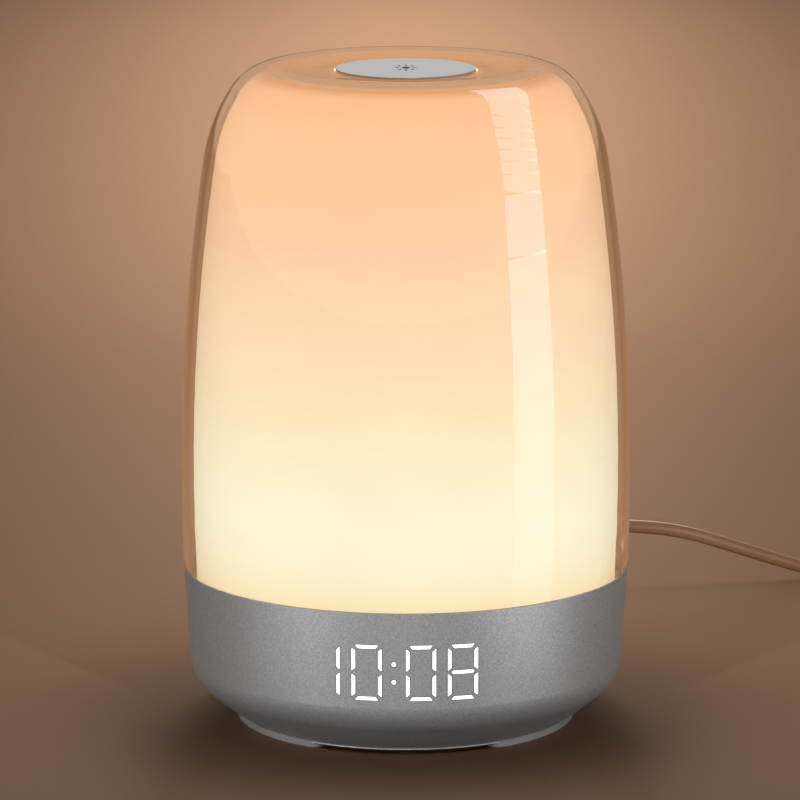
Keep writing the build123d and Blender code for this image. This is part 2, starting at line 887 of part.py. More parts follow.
def can(x):
    """A switch's square can, hollow for its plunger."""
    half = can_size / 2
    body = block((x - half, x + half), (rear_y, rear_y + can_h), (button_z - half, button_z + half))
    body = chamfer(body.edges().filter_by(Axis.Y), can_edge)
    cavity_y = plunger_foot_y - button_travel - 2 * fit_gap
    foot_end_y = plunger_foot_y + plunger_foot_t + fit_gap
    body -= rod(plunger_r + plunger_gap, x, button_z, cavity_y, rear_y + can_h)
    return body - rod(plunger_foot_r + plunger_gap, x, button_z, cavity_y, foot_end_y)


def plunger(x):
    """A switch's plunger, which the button's stem rests on."""
    foot_part = rod(plunger_foot_r, x, button_z, plunger_foot_y, plunger_foot_y + plunger_foot_t)
    return foot_part + rod(plunger_r, x, button_z, plunger_foot_y, rear_y + switch_h)


def rear_board():
    return block(
        (-rear_half_w, rear_half_w), (rear_y - board_t, rear_y), (rear_board_low, rear_board_top)
    )


def dc_jack():
    """The jack's body on the rear board, its nose in the wall, and its bore."""
    half = jack_body / 2
    inner_y = chord(wall_r(jack_z - half, base_wall), half) - loose_gap
    high_z = button_z - can_size / 2 - fit_gap
    body = block((-half, half), (rear_y, inner_y), (jack_z - half, min(jack_z + half, high_z)))
    body += rod(jack_nose_r, 0, jack_z, rear_y, jack_nose_y)
    return body - rod(jack_bore_r, 0, jack_z, jack_nose_y - jack_bore_depth, jack_nose_y)


def jack_pin():
    low_y = jack_nose_y - jack_bore_depth
    pin = rod(jack_pin_r, 0, jack_z, low_y, jack_nose_y - jack_pin_short)
    return fillet(pin.edges().group_by(Axis.Y)[-1], jack_pin_round)


# ---------------------------------------------------------------- the main board
def main_board():
    board = ring(0, main_board_r, main_board_z, main_top_z)
    for x, y in spots(post_ring_r, post_azimuths):
        board -= post(screw_shank_r + screw_hole_gap, x, y, main_board_z, main_top_z)
    return board


def board_screws():
    length = board_t + thread_bite
    return [screw_down(x, y, main_top_z, length) for x, y in spots(post_ring_r, post_azimuths)]


def main_chips():
    packages = []
    for x, y, width, depth, height in chip_spots:
        package = pad(x, y, main_top_z, width, depth, height)
        packages.append(chamfer(top_edges(package), height / 4))
    return packages


def capacitors():
    x = main_board_r - cap_inset
    return [
        pad(x, y, main_top_z, cap_base, cap_base, cap_base_h)
        + post(cap_r, x, y, main_top_z + cap_base_h, main_top_z + cap_h)
        for y in cap_ys
    ]


def board_sockets():
    """The sockets on the main board for both ribbons and for the LED lead."""
    ribbon_socket_w = ribbon_w + 2 * ribbon_socket_wall
    return [
        pad(x, y, main_top_z, width, ribbon_socket_d, ribbon_socket_h)
        for x, y, width in (
            (ribbon_front_x, ribbon_front_y, ribbon_socket_w),
            (ribbon_rear_x, ribbon_rear_y, ribbon_socket_w),
            (header_x, header_y, 2 * wire_pitch),
        )
    ]


def cell_holder():
    inner = cell_r + fit_gap
    floor_z = main_top_z + holder_t
    holder = post(inner + holder_t, cell_x, cell_y, main_top_z, main_top_z + holder_h)
    holder -= post(inner, cell_x, cell_y, floor_z, main_top_z + holder_h)
    return holder - block(
        (cell_x - holder_mouth_w / 2, cell_x + holder_mouth_w / 2),
        (cell_y, cell_y + inner + 2 * holder_t),
        (floor_z, main_top_z + holder_h),
    )


def coin_cell():
    low = main_top_z + holder_t
    cell = post(cell_r, cell_x, cell_y, low + cell_step, low + cell_h)
    return cell + post(cell_r - 2 * cell_step, cell_x, cell_y, low, low + cell_step)


# ---------------------------------------------------------------- the speaker
def speaker_gasket():
    return ring(speaker_r - speaker_edge, speaker_r, cover_top_z, speaker_z)


def speaker_basket():
    """A pressed frame: a flange, a sloping wall with windows, and a back plate."""
    top = speaker_z + speaker_flange_t
    back = speaker_back_z - speaker_flange_t
    upright_z = speaker_z + speaker_edge
    plate_r = magnet_r - speaker_step
    hole_r = pole_r + 2 * loose_gap
    frame = turned(Polyline(
        (basket_r, speaker_z),
        (speaker_r, speaker_z),
        (speaker_r, top),
        (basket_r + speaker_flange_t, top),
        (basket_r + speaker_flange_t, upright_z),
        (plate_r, speaker_back_z),
        (hole_r, speaker_back_z),
        (hole_r, back),
        (plate_r - speaker_flange_t, back),
        (basket_r, upright_z - speaker_flange_t / 2),
        close=True,
    ))
    window = block(
        (-speaker_window_w / 2, speaker_window_w / 2),
        (-basket_r - speaker_flange_t, -magnet_r),
        (upright_z, speaker_back_z),
    )
    turn = 360 / speaker_windows
    return frame - [Rot(0, 0, (i + 0.5) * turn) * window for i in range(speaker_windows)]


def speaker_magnet():
    magnet = ring(0, magnet_r, speaker_back_z, speaker_back_z + magnet_h)
    magnet = chamfer(top_edges(magnet), magnet_edge)
    return magnet + post(pole_r, 0, 0, speaker_back_z - pole_h, speaker_back_z)


def speaker_cone():
    """The cone with its rolled edge and its dust cap, as one thin sheet."""
    low = speaker_z - cone_t
    roll_r = basket_r - speaker_edge
    mid_r = (roll_r + basket_r) / 2
    rise = speaker_edge / 4
    deep = low + cone_depth
    return turned([
        Polyline((0, deep - dust_cap_rise), (dust_cap_r, deep), (roll_r, low + cone_t)),
        ThreePointArc((roll_r, low + cone_t), (mid_r, low + cone_t + rise), (basket_r, low)),
        Polyline((basket_r, low), (cone_edge_r, low), (cone_edge_r, speaker_z), (basket_r, speaker_z)),
        ThreePointArc(
            (basket_r, speaker_z), (mid_r, speaker_z + cone_t + rise), (roll_r, low + 2 * cone_t)
        ),
        Polyline(
            (roll_r, low + 2 * cone_t),
            (dust_cap_r, deep + cone_t),
            (0, deep + cone_t - dust_cap_rise),
            (0, deep - dust_cap_rise),
        ),
    ])


def speaker_lead():
    """The two wires from the speaker's flange up to the main board."""
    y = speaker_lead_inset - speaker_r
    low = speaker_z + speaker_flange_t
    return [post(wire_r, x, y, low, main_board_z) for x in (-wire_pitch / 2, wire_pitch / 2)]


# ---------------------------------------------------------------- the cord set
def corner_radii(points):
    """For each corner of a route, the arc that its two runs have room for."""
    radii = []
    for before, corner, after in zip(points, points[1:], points[2:]):
        run_in = Vector(corner) - Vector(before)
        run_out = Vector(after) - Vector(corner)
        turn = radians(run_in.get_angle(run_out))
        radii.append(arc_share * min(run_in.length, run_out.length) / tan(turn / 2))
    return radii


def route(points):
    return FilletPolyline(*points, radius=corner_radii(points))


def tube(points, name):
    """A cord's solid: straight runs joined by arcs as large as the runs allow."""
    path = route(points)
    section = Plane(origin=path @ 0, z_dir=path % 0) * Circle(cord_r)
    solid = sweep(section, path=path)
    radii = [round(r, 1) for r in corner_radii(points)]
    print(name, "radii", radii, "length", round(path.length, 1))
    print(name, "volume", round(solid.volume, 1), "of", round(path.length * pi * cord_r**2, 1))
    return solid


def dc_plug():
    """The plug's grip and its strain relief, thinner towards the lead and cut by grooves."""
    pitch = relief_l / relief_rings
    taper = (relief_r - cord_r - relief_tip) / relief_rings
    outline = [
        (0, 0),
        (plug_r - plug_edge, 0),
        (plug_r, plug_edge),
        (plug_r, plug_l - plug_shoulder),
        (plug_r - plug_shoulder, plug_l),
    ]
    for i in range(relief_rings):
        start = plug_l + i * pitch
        end = start + pitch - relief_slot_w
        r = relief_r - (i + 1) * taper
        slot_r = r - relief_slot_depth
        outline += [(r, start), (r, end), (slot_r, end), (slot_r, start + pitch)]
    form = turned(Polyline(*outline, (0, plug_l + relief_l), close=True))
    return Pos(0, plug_y, jack_z) * Rot(-90, 0, 0) * form


def dc_barrel():
    tip_y = plug_y - plug_gap - loose_gap - barrel_l
    barrel = rod(barrel_r, 0, jack_z, tip_y, plug_y)
    return barrel - rod(barrel_bore_r, 0, jack_z, tip_y, plug_y - barrel_floor)


def coil_section(grow):
    """The wound lead's section, or the tie's outside."""
    width = 2 * (coil_columns * cord_r + grow)
    height = coil_high_z - coil_low_z + 2 * grow
    section = RectangleRounded(width, height, cord_r + grow)
    return Plane.XZ * Pos(coil_mid_r, (coil_low_z + coil_high_z) / 2) * section


def cord_coil():
    """The outer form of the wound lead, which holds all the length that the runs leave over."""
    wound = cord_length - route(lead_route).length - route(lead_tail).length
    turns = wound / (2 * pi * coil_mid_r)
    print("cord_coil turns", round(turns, 1), "of", coil_columns * coil_layers)
    return Pos(coil_x, coil_y, 0) * revolve(coil_section(0), Axis.Z)


def cord_tie():
    """The strap round the coil, at one place."""
    strap = revolve(coil_section(tie_t), Axis.Z, tie_angle)
    strap -= revolve(coil_section(0), Axis.Z, tie_angle)
    return Pos(coil_x, coil_y, 0) * Rot(0, 0, tie_azimuth) * strap


def usb_plug():
    """The grip of the USB plug, its strain relief and the tongue inside its shell."""
    grip = block(
        (usb_x - usb_w / 2, usb_x + usb_w / 2), (usb_face_y, usb_face_y + usb_l), (0, usb_h)
    )
    grip = fillet(grip.edges().filter_by(Axis.Y), usb_round)
    relief = Cone(usb_relief_r, cord_r + relief_tip, usb_relief_l, align=BASE)
    relief = Pos(usb_x, usb_face_y + usb_l, usb_z) * Rot(-90, 0, 0) * relief
    inner_w = usb_shell_w / 2 - usb_shell_t - pipe_gap
    inner_h = usb_shell_h / 2 - usb_shell_t - pipe_gap
    tongue = block(
        (usb_x - inner_w, usb_x + inner_w),
        (usb_face_y - usb_shell_l + usb_tongue_short, usb_face_y),
        (usb_z - inner_h, usb_z - inner_h + usb_tongue_t),
    )
    return grip + relief + tongue


def usb_shell():
    """The plug's folded metal shell, with its two latch windows."""
    half_w, half_h = usb_shell_w / 2, usb_shell_h / 2
    outside, inside = [
        block(
            (usb_x - half_w + t, usb_x + half_w - t),
            (usb_face_y - usb_shell_l, usb_face_y),
            (usb_z - half_h + t, usb_z + half_h - t),
        )
        for t in (0, usb_shell_t)
    ]
    shell = fillet(outside.edges().filter_by(Axis.Y), usb_shell_round) - inside
    window_y = usb_face_y - usb_window_back
    for x in (usb_x - usb_window_pitch / 2, usb_x + usb_window_pitch / 2):
        shell -= pad(x, window_y, usb_z, usb_window, usb_window, usb_shell_h)
    return shell


# ---------------------------------------------------------------- the files
os.makedirs("parts", exist_ok=True)

write("outer_shell", outer_shell())
write("diffuser", diffuser())
write("touch_disc", touch_disc())
write("spacer_washer", ring(stud_r + stud_gap, spacer_r, diffuser_flat_z, shell_flat_z))
write("clamp_washer", ring(stud_r + stud_gap, washer_r, washer_z, washer_z + washer_t))
write("stud_nut", stud_nut())
write("touch_lead", touch_lead())
write("touch_socket", touch_socket())
write("light_deck", light_deck())
write("led_board", led_board())
write("leds", *leds())
write("led_header", led_header())
write("led_lead", *led_lead())
write("deck_screws", *deck_screws())

write("base_housing", base_housing())
write("bottom_cover", bottom_cover())
for side, azimuth in foot_azimuths.items():
    write(f"foot_{side}", foot(azimuth))
write("cover_screws", *cover_screws())

write("light_pipe_block", light_pipe_block())
write("light_pipes", *light_pipes())
write("display_board", display_board())
write("display_leds", *display_leds())
write("display_ribbon", display_ribbon())

write("rear_board", rear_board())
write("switch_cans", *[can(x) for x in button_xs])
for name, x in zip(button_names, button_xs):
    write(f"button_{name}", button(x))
    write(f"plunger_{name}", plunger(x))
write("dc_jack", dc_jack())
write("jack_pin", jack_pin())
write("rear_ribbon", rear_ribbon())

write("main_board", main_board())
write("board_screws", *board_screws())
write("main_chips", *main_chips())
write("capacitors", *capacitors())
write("board_sockets", *board_sockets())
write("cell_holder", cell_holder())
write("coin_cell", coin_cell())

write("speaker_gasket", speaker_gasket())
write("speaker_basket", speaker_basket())
write("speaker_magnet", speaker_magnet())
write("speaker_cone", speaker_cone())
write("speaker_lead", *speaker_lead())

write("dc_plug", dc_plug())
write("dc_barrel", dc_barrel())
write("power_cord", tube(lead_route, "power_cord"))
write("cord_coil", cord_coil())
write("cord_tie", cord_tie())
write("cord_tail", tube(lead_tail, "cord_tail"))
write("usb_plug", usb_plug())
write("usb_shell", usb_shell())
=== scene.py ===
"""Sunrise alarm clock: stage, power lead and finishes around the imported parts.

Metres, +Z up, the front towards -Y, the origin on the surface that the clock stands on.
"""

import json
import math

import bmesh
import bpy
from mathutils import Matrix, Vector
from mathutils.bvhtree import BVHTree
from mathutils.geometry import interpolate_bezier


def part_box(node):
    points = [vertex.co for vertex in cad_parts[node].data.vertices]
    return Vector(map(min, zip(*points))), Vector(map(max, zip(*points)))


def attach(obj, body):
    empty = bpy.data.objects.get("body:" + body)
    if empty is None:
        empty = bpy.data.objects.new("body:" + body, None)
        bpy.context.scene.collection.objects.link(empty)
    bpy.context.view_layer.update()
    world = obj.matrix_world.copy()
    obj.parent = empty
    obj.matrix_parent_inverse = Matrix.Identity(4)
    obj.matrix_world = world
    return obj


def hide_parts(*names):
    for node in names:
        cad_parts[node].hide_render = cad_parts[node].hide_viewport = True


bl_info = {
    "name": "Sunrise alarm clock",
    "version": (1, 0, 0),
    "blender": (4, 5, 0),
    "location": "3D View > Sidebar > Sunrise clock",
    "description": "Finishes, display, marks, power lead and stage of a sunrise alarm clock",
    "category": "Object",
}

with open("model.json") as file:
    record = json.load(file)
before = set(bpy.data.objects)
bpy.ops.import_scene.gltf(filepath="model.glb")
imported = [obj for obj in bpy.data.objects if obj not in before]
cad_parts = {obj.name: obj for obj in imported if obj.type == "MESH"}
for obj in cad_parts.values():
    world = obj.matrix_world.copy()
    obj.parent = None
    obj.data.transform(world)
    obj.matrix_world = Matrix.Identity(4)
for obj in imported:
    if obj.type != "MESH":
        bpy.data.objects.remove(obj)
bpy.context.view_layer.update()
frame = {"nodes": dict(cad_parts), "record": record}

BUTTONS = ("time", "alarm", "minus", "plus", "sound")
UP = (0.0, 0.0, 1.0)
DOWN = (0.0, 0.0, -1.0)
FORWARD = (0.0, -1.0, 0.0)
BACKWARD = (0.0, 1.0, 0.0)
# a hair off upright, so that no lamp that looks straight down faces along it
NEARLY_UP = (0.0, 0.001, 1.0)

# ------------------------------------------------------------------ the stage's lamps
# each lamp's name, place, way it faces, size across and along, the settings of its power and
# its colour, and the group of pieces that it lights
LAMPS = (
    ("top lamp", (0.0, 0.0, 1.3), DOWN, (1.0, 1.0), "top_power", "white", "body"),
    ("crown lamp", (0.0, 0.9, 0.40), (0.0, -0.9, -0.24), (0.4, 0.3),
     "crown_power", "crown_color", "disc"),
    ("disc lamp", (0.0, 0.0, 0.96), DOWN, (0.3, 0.3), "disc_power", "white", "disc"),
    ("rear lamp", (0.0, 0.9, 0.3), (0.0, -0.9, -0.27), (0.5, 0.3), "rear_power", "white", "base"),
    ("back background lamp", (0.0, 1.5, 0.3), DOWN, (0.05, 1.4), "back_power", "white", "floor"),
    ("front background lamp", (0.0, -1.02, 0.2), DOWN, (0.05, 1.0),
     "fore_power", "warm_color", "floor"),
    ("far background lamp", (0.0, 1.02, 0.2), DOWN, (0.05, 1.0),
     "far_power", "warm_color", "floor"),
    ("near background lamp", (0.0, 0.32, 0.2), DOWN, (0.05, 0.4),
     "near_power", "warm_color", "floor"),
    ("front lamp", (0.0, -0.9, 0.12), (0.0, 0.9, -0.1), (0.5, 0.24),
     "front_power", "white", "base"),
    ("left lamp", (-0.24, -0.25, 0.12), (0.24, 0.25, -0.1), (0.10, 0.24),
     "left_power", "white", "base"),
    ("right lamp", (0.26, -0.20, 0.12), (-0.26, 0.20, -0.1), (0.10, 0.24),
     "right_power", "white", "base"),
    ("left card", (-0.14, -0.10, 0.002), UP, (0.12, 0.12), "left_card_power", "white", "base"),
    ("right card", (0.14, -0.10, 0.002), UP, (0.12, 0.12), "right_card_power", "white", "base"),
)
# the light that the clock sheds on the floor round it
RING_PLACE = (0.0, 0.0, 0.10)
RING_RADIUS = 0.045
# the strip that the shell mirrors: upright from its foot, then bent over the clock's crown,
# by the ends and handles of its bend, the way across it at both ends, and its widths there
STRIP_FOOT = (0.1340, -0.0865, 0.0)
STRIP_BEND = (
    (0.1325, -0.0840, 0.100),
    (0.1325, -0.0840, 0.220),
    (0.1085, -0.0445, 0.230),
    (0.0525, 0.0365, 0.247),
)
STRIP_ACROSS = ((0.40, 0.90, -0.10), (0.53, 0.72, -0.45))
STRIP_WIDE = (0.058, 0.040)
STRIP_POINTS = 15
# the stretch of the upright lamp, as shares of it from its foot, over which it comes up to
# full strength, and the share of its strength below that
STRIP_FADE = {"From Min": 0.32, "From Max": 0.90, "To Min": 0.28}


# ------------------------------------------------------------------ the power lead's route
LEAD_OUT = (
    (0.0, 0.085742, 0.018),
    (0.0, 0.101742, 0.018),
    (0.007, 0.117242, 0.018),
    (0.024, 0.127242, 0.0176),
    (0.044, 0.1295, 0.0173),
    (0.062, 0.1298, 0.0168),
    (0.075, 0.1310, 0.0152),
    (0.088, 0.1334, 0.0108),
    (0.101, 0.1360, 0.00605),
    (0.111, 0.1370, 0.00295),
    (0.121, 0.1346, 0.00205),
    (0.131, 0.1306, 0.00255),
)
LEAD_END = (
    (0.1635, 0.094, 0.0054),
    (0.1635, 0.090, 0.0046),
    (0.1635, 0.086, 0.0040),
    (0.1635, 0.082, 0.0040),
)
# the coil's turns by their place across it, 0 inmost, and their layer, 0 lowest
COIL_TURNS = (
    (3, 0), (2, 0), (1, 0), (0, 0), (0, 1), (0, 2),
    (1, 2), (1, 1), (2, 1), (2, 2), (3, 2), (3, 1),
)
COIL_MIDDLE = (0.139, 0.105, 0.00605)
COIL_R = 0.01925
# the place across that lies at COIL_R, and the layer at the height of COIL_MIDDLE
MIDDLE_COLUMN = 1.5
MIDDLE_LAYER = 1
TURN_POINTS = 16
# how much of the last turn is left off, and the share of a turn after which the lead moves
# over to its next place
LAST_SHORT = 0.75
CHANGE_START = 0.86

# ------------------------------------------------------------------ the diffuser's glow
# colours by height over the floor, and the heights that the ramp's two ends stand for
GLOW_STOPS = (
    (0.035, (0.82, 0.67, 0.39)),
    (0.039, (0.90, 0.793, 0.505)),
    (0.046, (0.91, 0.862, 0.626)),
    (0.056, (0.91, 0.904, 0.660)),
    (0.066, (0.91, 0.862, 0.626)),
    (0.076, (0.91, 0.822, 0.560)),
    (0.086, (0.91, 0.766, 0.500)),
    (0.100, (0.92, 0.695, 0.472)),
    (0.113, (0.91, 0.653, 0.410)),
    (0.123, (0.90, 0.583, 0.373)),
    (0.136, (0.91, 0.554, 0.318)),
    (0.150, (0.90, 0.528, 0.290)),
    (0.157, (0.88, 0.483, 0.255)),
)
GLOW_LOW = 0.035
GLOW_HIGH = 0.1585
# the dished top: the radii between which the painted shade that dims its glow fades out, and the
# height it starts at
DISH_RADII = (0.0345, 0.0375)
DISH_HEIGHT = 0.15

# ------------------------------------------------------------------ marks and digits
# the brightness mark's shape, as shares of half its width
MARK_HUB = 0.37
RAY_START = 0.66
RAY_WIDTH = 0.2
RAYS = 8
# how far a mark stands off what carries it, and its thickness
MARK_LIFT = 0.00002
MARK_THICK = 0.00004
# how far off marks are made before they are laid on: above the disc, and behind the buttons
ABOVE_DISC = 0.5
BEHIND_BUTTONS = 0.2
# which bars each figure of the time lights: a on top, then clockwise, g in the middle
BARS_OF = {
    "1": "bc",
    "0": "abcdef",
    "8": "abcdefg",
}
# where each bar lies, in half widths and quarter heights from the digit's middle, and its turn
BAR_PLACES = {
    "a": ((0, 2), 0), "b": ((1, 1), -90), "c": ((1, -1), -90), "d": ((0, -2), 180),
    "e": ((-1, -1), 90), "f": ((-1, 1), 90), "g": ((0, 0), 0),
}
TIME_SHOWN = "1008"
# the cuts that let flat bars follow the round wall, in bars' thicknesses across and up
CUT_ACROSS = 0.7
CUT_UP = 1.1


# ------------------------------------------------------------------ settings
def length(name, description, default):
    """A size that a user may change, in metres."""
    return bpy.props.FloatProperty(
        name=name, description=description, default=default, precision=5, unit="LENGTH"
    )


def factor(name, description, default, high=1.0):
    """A plain number from 0 up to high."""
    return bpy.props.FloatProperty(
        name=name, description=description, default=default, min=0.0, max=high, subtype="FACTOR"
    )


def color(name, description, default):
    """A linear colour."""
    return bpy.props.FloatVectorProperty(
        name=name, description=description, default=default, size=3, min=0.0, max=1.0,
        subtype="COLOR",
    )


def watts(name, description, default):
    """A lamp's power."""
    return bpy.props.FloatProperty(
        name=name, description=description, default=default, min=0.0, unit="POWER"
    )


class StageSettings(bpy.types.PropertyGroup):
    """Floor, lamps and camera."""

    floor_reach: length("Floor reach", "Half the width of the floor", 14.0)
    floor_color: color("Floor", "Colour of the floor", (0.30, 0.181, 0.119))
    sky_color: color("Surroundings", "What the camera and the gloss see past the floor",
                     (0.36, 0.24, 0.165))
    fill_color: color("Fill light", "Soft light from all round", (0.04, 0.04, 0.04))
    camera_distance: length("Camera distance", "From the clock's axis to the camera", 1.25)
    camera_height: length("Camera height", "Height of the camera over the floor", 0.3354)
    camera_aside: length("Camera offset", "How far the camera stands left of the axis", 0.00144)
    camera_pitch: bpy.props.FloatProperty(
        name="Camera pitch", description="How far the camera looks down",
        default=math.radians(11.62), unit="ROTATION",
    )
    camera_lens: bpy.props.FloatProperty(
        name="Lens", description="Focal length in millimetres", default=234.74, min=1.0
    )
    camera_sensor: bpy.props.FloatProperty(
        name="Sensor", description="Width of the camera's sensor in millimetres",
        default=36.0, min=1.0,
    )
    top_power: watts("Top lamp", "Power of the soft lamp overhead", 0.5)
    crown_power: watts("Crown lamp", "Power of the lamp that the touch disc mirrors", 0.70)
    crown_color: color("Crown colour", "Colour of the crown lamp", (0.88, 0.97, 1.0))
    disc_power: watts("Disc lamp", "Power of the lamp over the touch disc", 2.6)
    rear_power: watts("Rear lamp", "Power of the soft lamp behind the base", 3.0)
    back_power: watts("Back background lamp", "Power of the lamp over the farthest floor", 0.9)
    fore_power: watts("Front background lamp", "Power of the lamp over the floor in front",
                      1.47)
    far_power: watts("Far background lamp", "Power of the lamp over the far floor", 2.1)
    near_power: watts("Near background lamp", "Power of the lamp over the near floor", 0.43)
    warm_color: color("Background colour", "Colour of the front, far and near background lamps",
                      (1.0, 0.88, 0.70))
    white: color("Plain light", "Colour of the other lamps", (1.0, 1.0, 1.0))
    ring_power: watts("Light round the clock", "Power of the light that the clock sheds", 0.50)
    front_power: watts("Front lamp", "Power of the soft lamp in front of the base", 2.3)
    left_power: watts("Left lamp", "Power of the low lamp on the left", 0.85)
    right_power: watts("Right lamp", "Power of the low lamp on the right", 0.64)
    left_card_power: watts("Left card", "Power of the card on the floor, left", 0.02)
    right_card_power: watts("Right card", "Power of the card on the floor, right", 0.05)
    strip_level: factor("Strip", "Watts per square metre of the tall strip that the shell mirrors",
                        12.2, 100.0)
    strip_color: color("Strip colour", "Colour of the tall strip", (0.62, 0.71, 0.92))


class LeadSettings(bpy.types.PropertyGroup):
    """Power lead."""

    lead_length: length("Length", "Length of the lead between its plugs", 1.5)
    diameter: length("Diameter", "Thickness of the lead", 0.0035)
    jacket: color("Jacket", "Colour of the lead's jacket", (0.262, 0.129, 0.063))


class LightSettings(bpy.types.PropertyGroup):
    """Clear shell and glowing diffuser."""

    clear: color("Shell", "Tint of the clear shell", (0.985, 0.985, 0.98))
    shell_gloss: factor("Shell roughness", "Roughness of the polished shell", 0.0)
    # painted light: the clear shell is given a warm glow of its own, standing in for the
    # diffuser's light carried round in its walls and edges
    shell_glow: factor("Shell glow", "Light that a metre of the clear shell adds", 56.0, 200.0)
    shell_glow_color: color("Shell warmth", "Colour of the light in the shell", (1.0, 0.51, 0.22))
    glow: factor("Glow", "Strength of the diffuser's glow", 1.05, 20.0)
    opal: color("Opal", "Colour of the diffuser unlit", (0.10, 0.09, 0.08))
    # painted shade: a darker tint that dims the diffuser's glow in the dished top, standing in for
    # the shade there
    painted_dish_shade: color("Dish glow", "Tint of the glow in the dished top", (0.74, 0.60, 0.46))


class BaseSettings(bpy.types.PropertyGroup):
    """Painted base, feet and cover."""

    paint: color("Paint", "Colour of the metallic paint", (0.345, 0.363, 0.377))
    flake_size: length("Flake", "Size of the paint's grain", 0.00036)
    rubber: color("Feet", "Colour of the feet", (0.15, 0.15, 0.148))
    cover: color("Cover", "Colour of the bottom cover", (0.035, 0.035, 0.037))


class DisplaySettings(bpy.types.PropertyGroup):
    """Lit digits of the hidden display."""

    digit_width: length("Digit width", "Width of a digit over its bars", 0.0071)
    digit_height: length("Digit height", "Height of a digit over its bars", 0.0136)
    bar: length("Bar", "Thickness of a bar", 0.0008)
    bar_gap: length("Bar gap", "Between two bars' outer corners, along a digit's side", 0.00095)
    mitre: length("Mitre", "How much shorter each end of a bar is at its inner edge", 0.00062)
    dot: length("Dot", "Radius of the colon's dots", 0.00052)
    dot_step: length("Dots", "Between the colon's dots", 0.0044)
    middle_x: length("Colon across", "Where the colon stands across the front", -0.0029)
    middle_z: length("Height", "Height of the display's middle line", 0.0233)
    near_step: length("Near digits", "From the colon to the digits beside it", 0.00645)
    far_step: length("Far digits", "From the colon to the outer digits", 0.0164)
    lift: length("Lift", "How far the lit bars stand off the paint", 0.00008)
    lit: color("Lit bars", "Colour of a lit bar", (1.0, 1.0, 1.0))
    brightness: factor("Brightness", "Strength of a lit bar", 1.15, 20.0)
    halo: length("Halo", "Width of the darker paint round a lit bar", 0.00022)
    halo_lift: factor("Halo lift", "How far the halo stands off, as a share of the lift", 0.5)
    halo_shade: factor("Halo shade", "Brightness of the halo's paint beside the base's", 0.66)
    sink: length("Sink", "How far the bars and the halo reach into the paint", 0.00002)


class TouchSettings(bpy.types.PropertyGroup):
    """Touch disc on the crown."""

    metal: color("Metal", "Colour of the satin disc", (0.60, 0.605, 0.61))
    mark_width: length("Mark", "Width of the brightness mark", 0.0052)
    mark_depth: factor("Mark depth", "How much deeper than wide the mark is", 2.0, 3.0)


class ControlSettings(bpy.types.PropertyGroup):
    """Push buttons at the back."""

    cap: color("Caps", "Colour of the button caps", (0.27, 0.273, 0.277))
    mark: color("Marks", "Colour of the marks on the caps", (0.75, 0.75, 0.74))
    mark_size: length("Mark size", "Height of a cap's mark", 0.0031)
    mark_line: length("Mark line", "Thickness of a mark's lines", 0.00034)


class ClockSettings(bpy.types.PropertyGroup):
    """All settings of the clock."""

    stage: bpy.props.PointerProperty(type=StageSettings)
    lead: bpy.props.PointerProperty(type=LeadSettings)
    light: bpy.props.PointerProperty(type=LightSettings)
    base: bpy.props.PointerProperty(type=BaseSettings)
    display: bpy.props.PointerProperty(type=DisplaySettings)
    touch: bpy.props.PointerProperty(type=TouchSettings)
    controls: bpy.props.PointerProperty(type=ControlSettings)


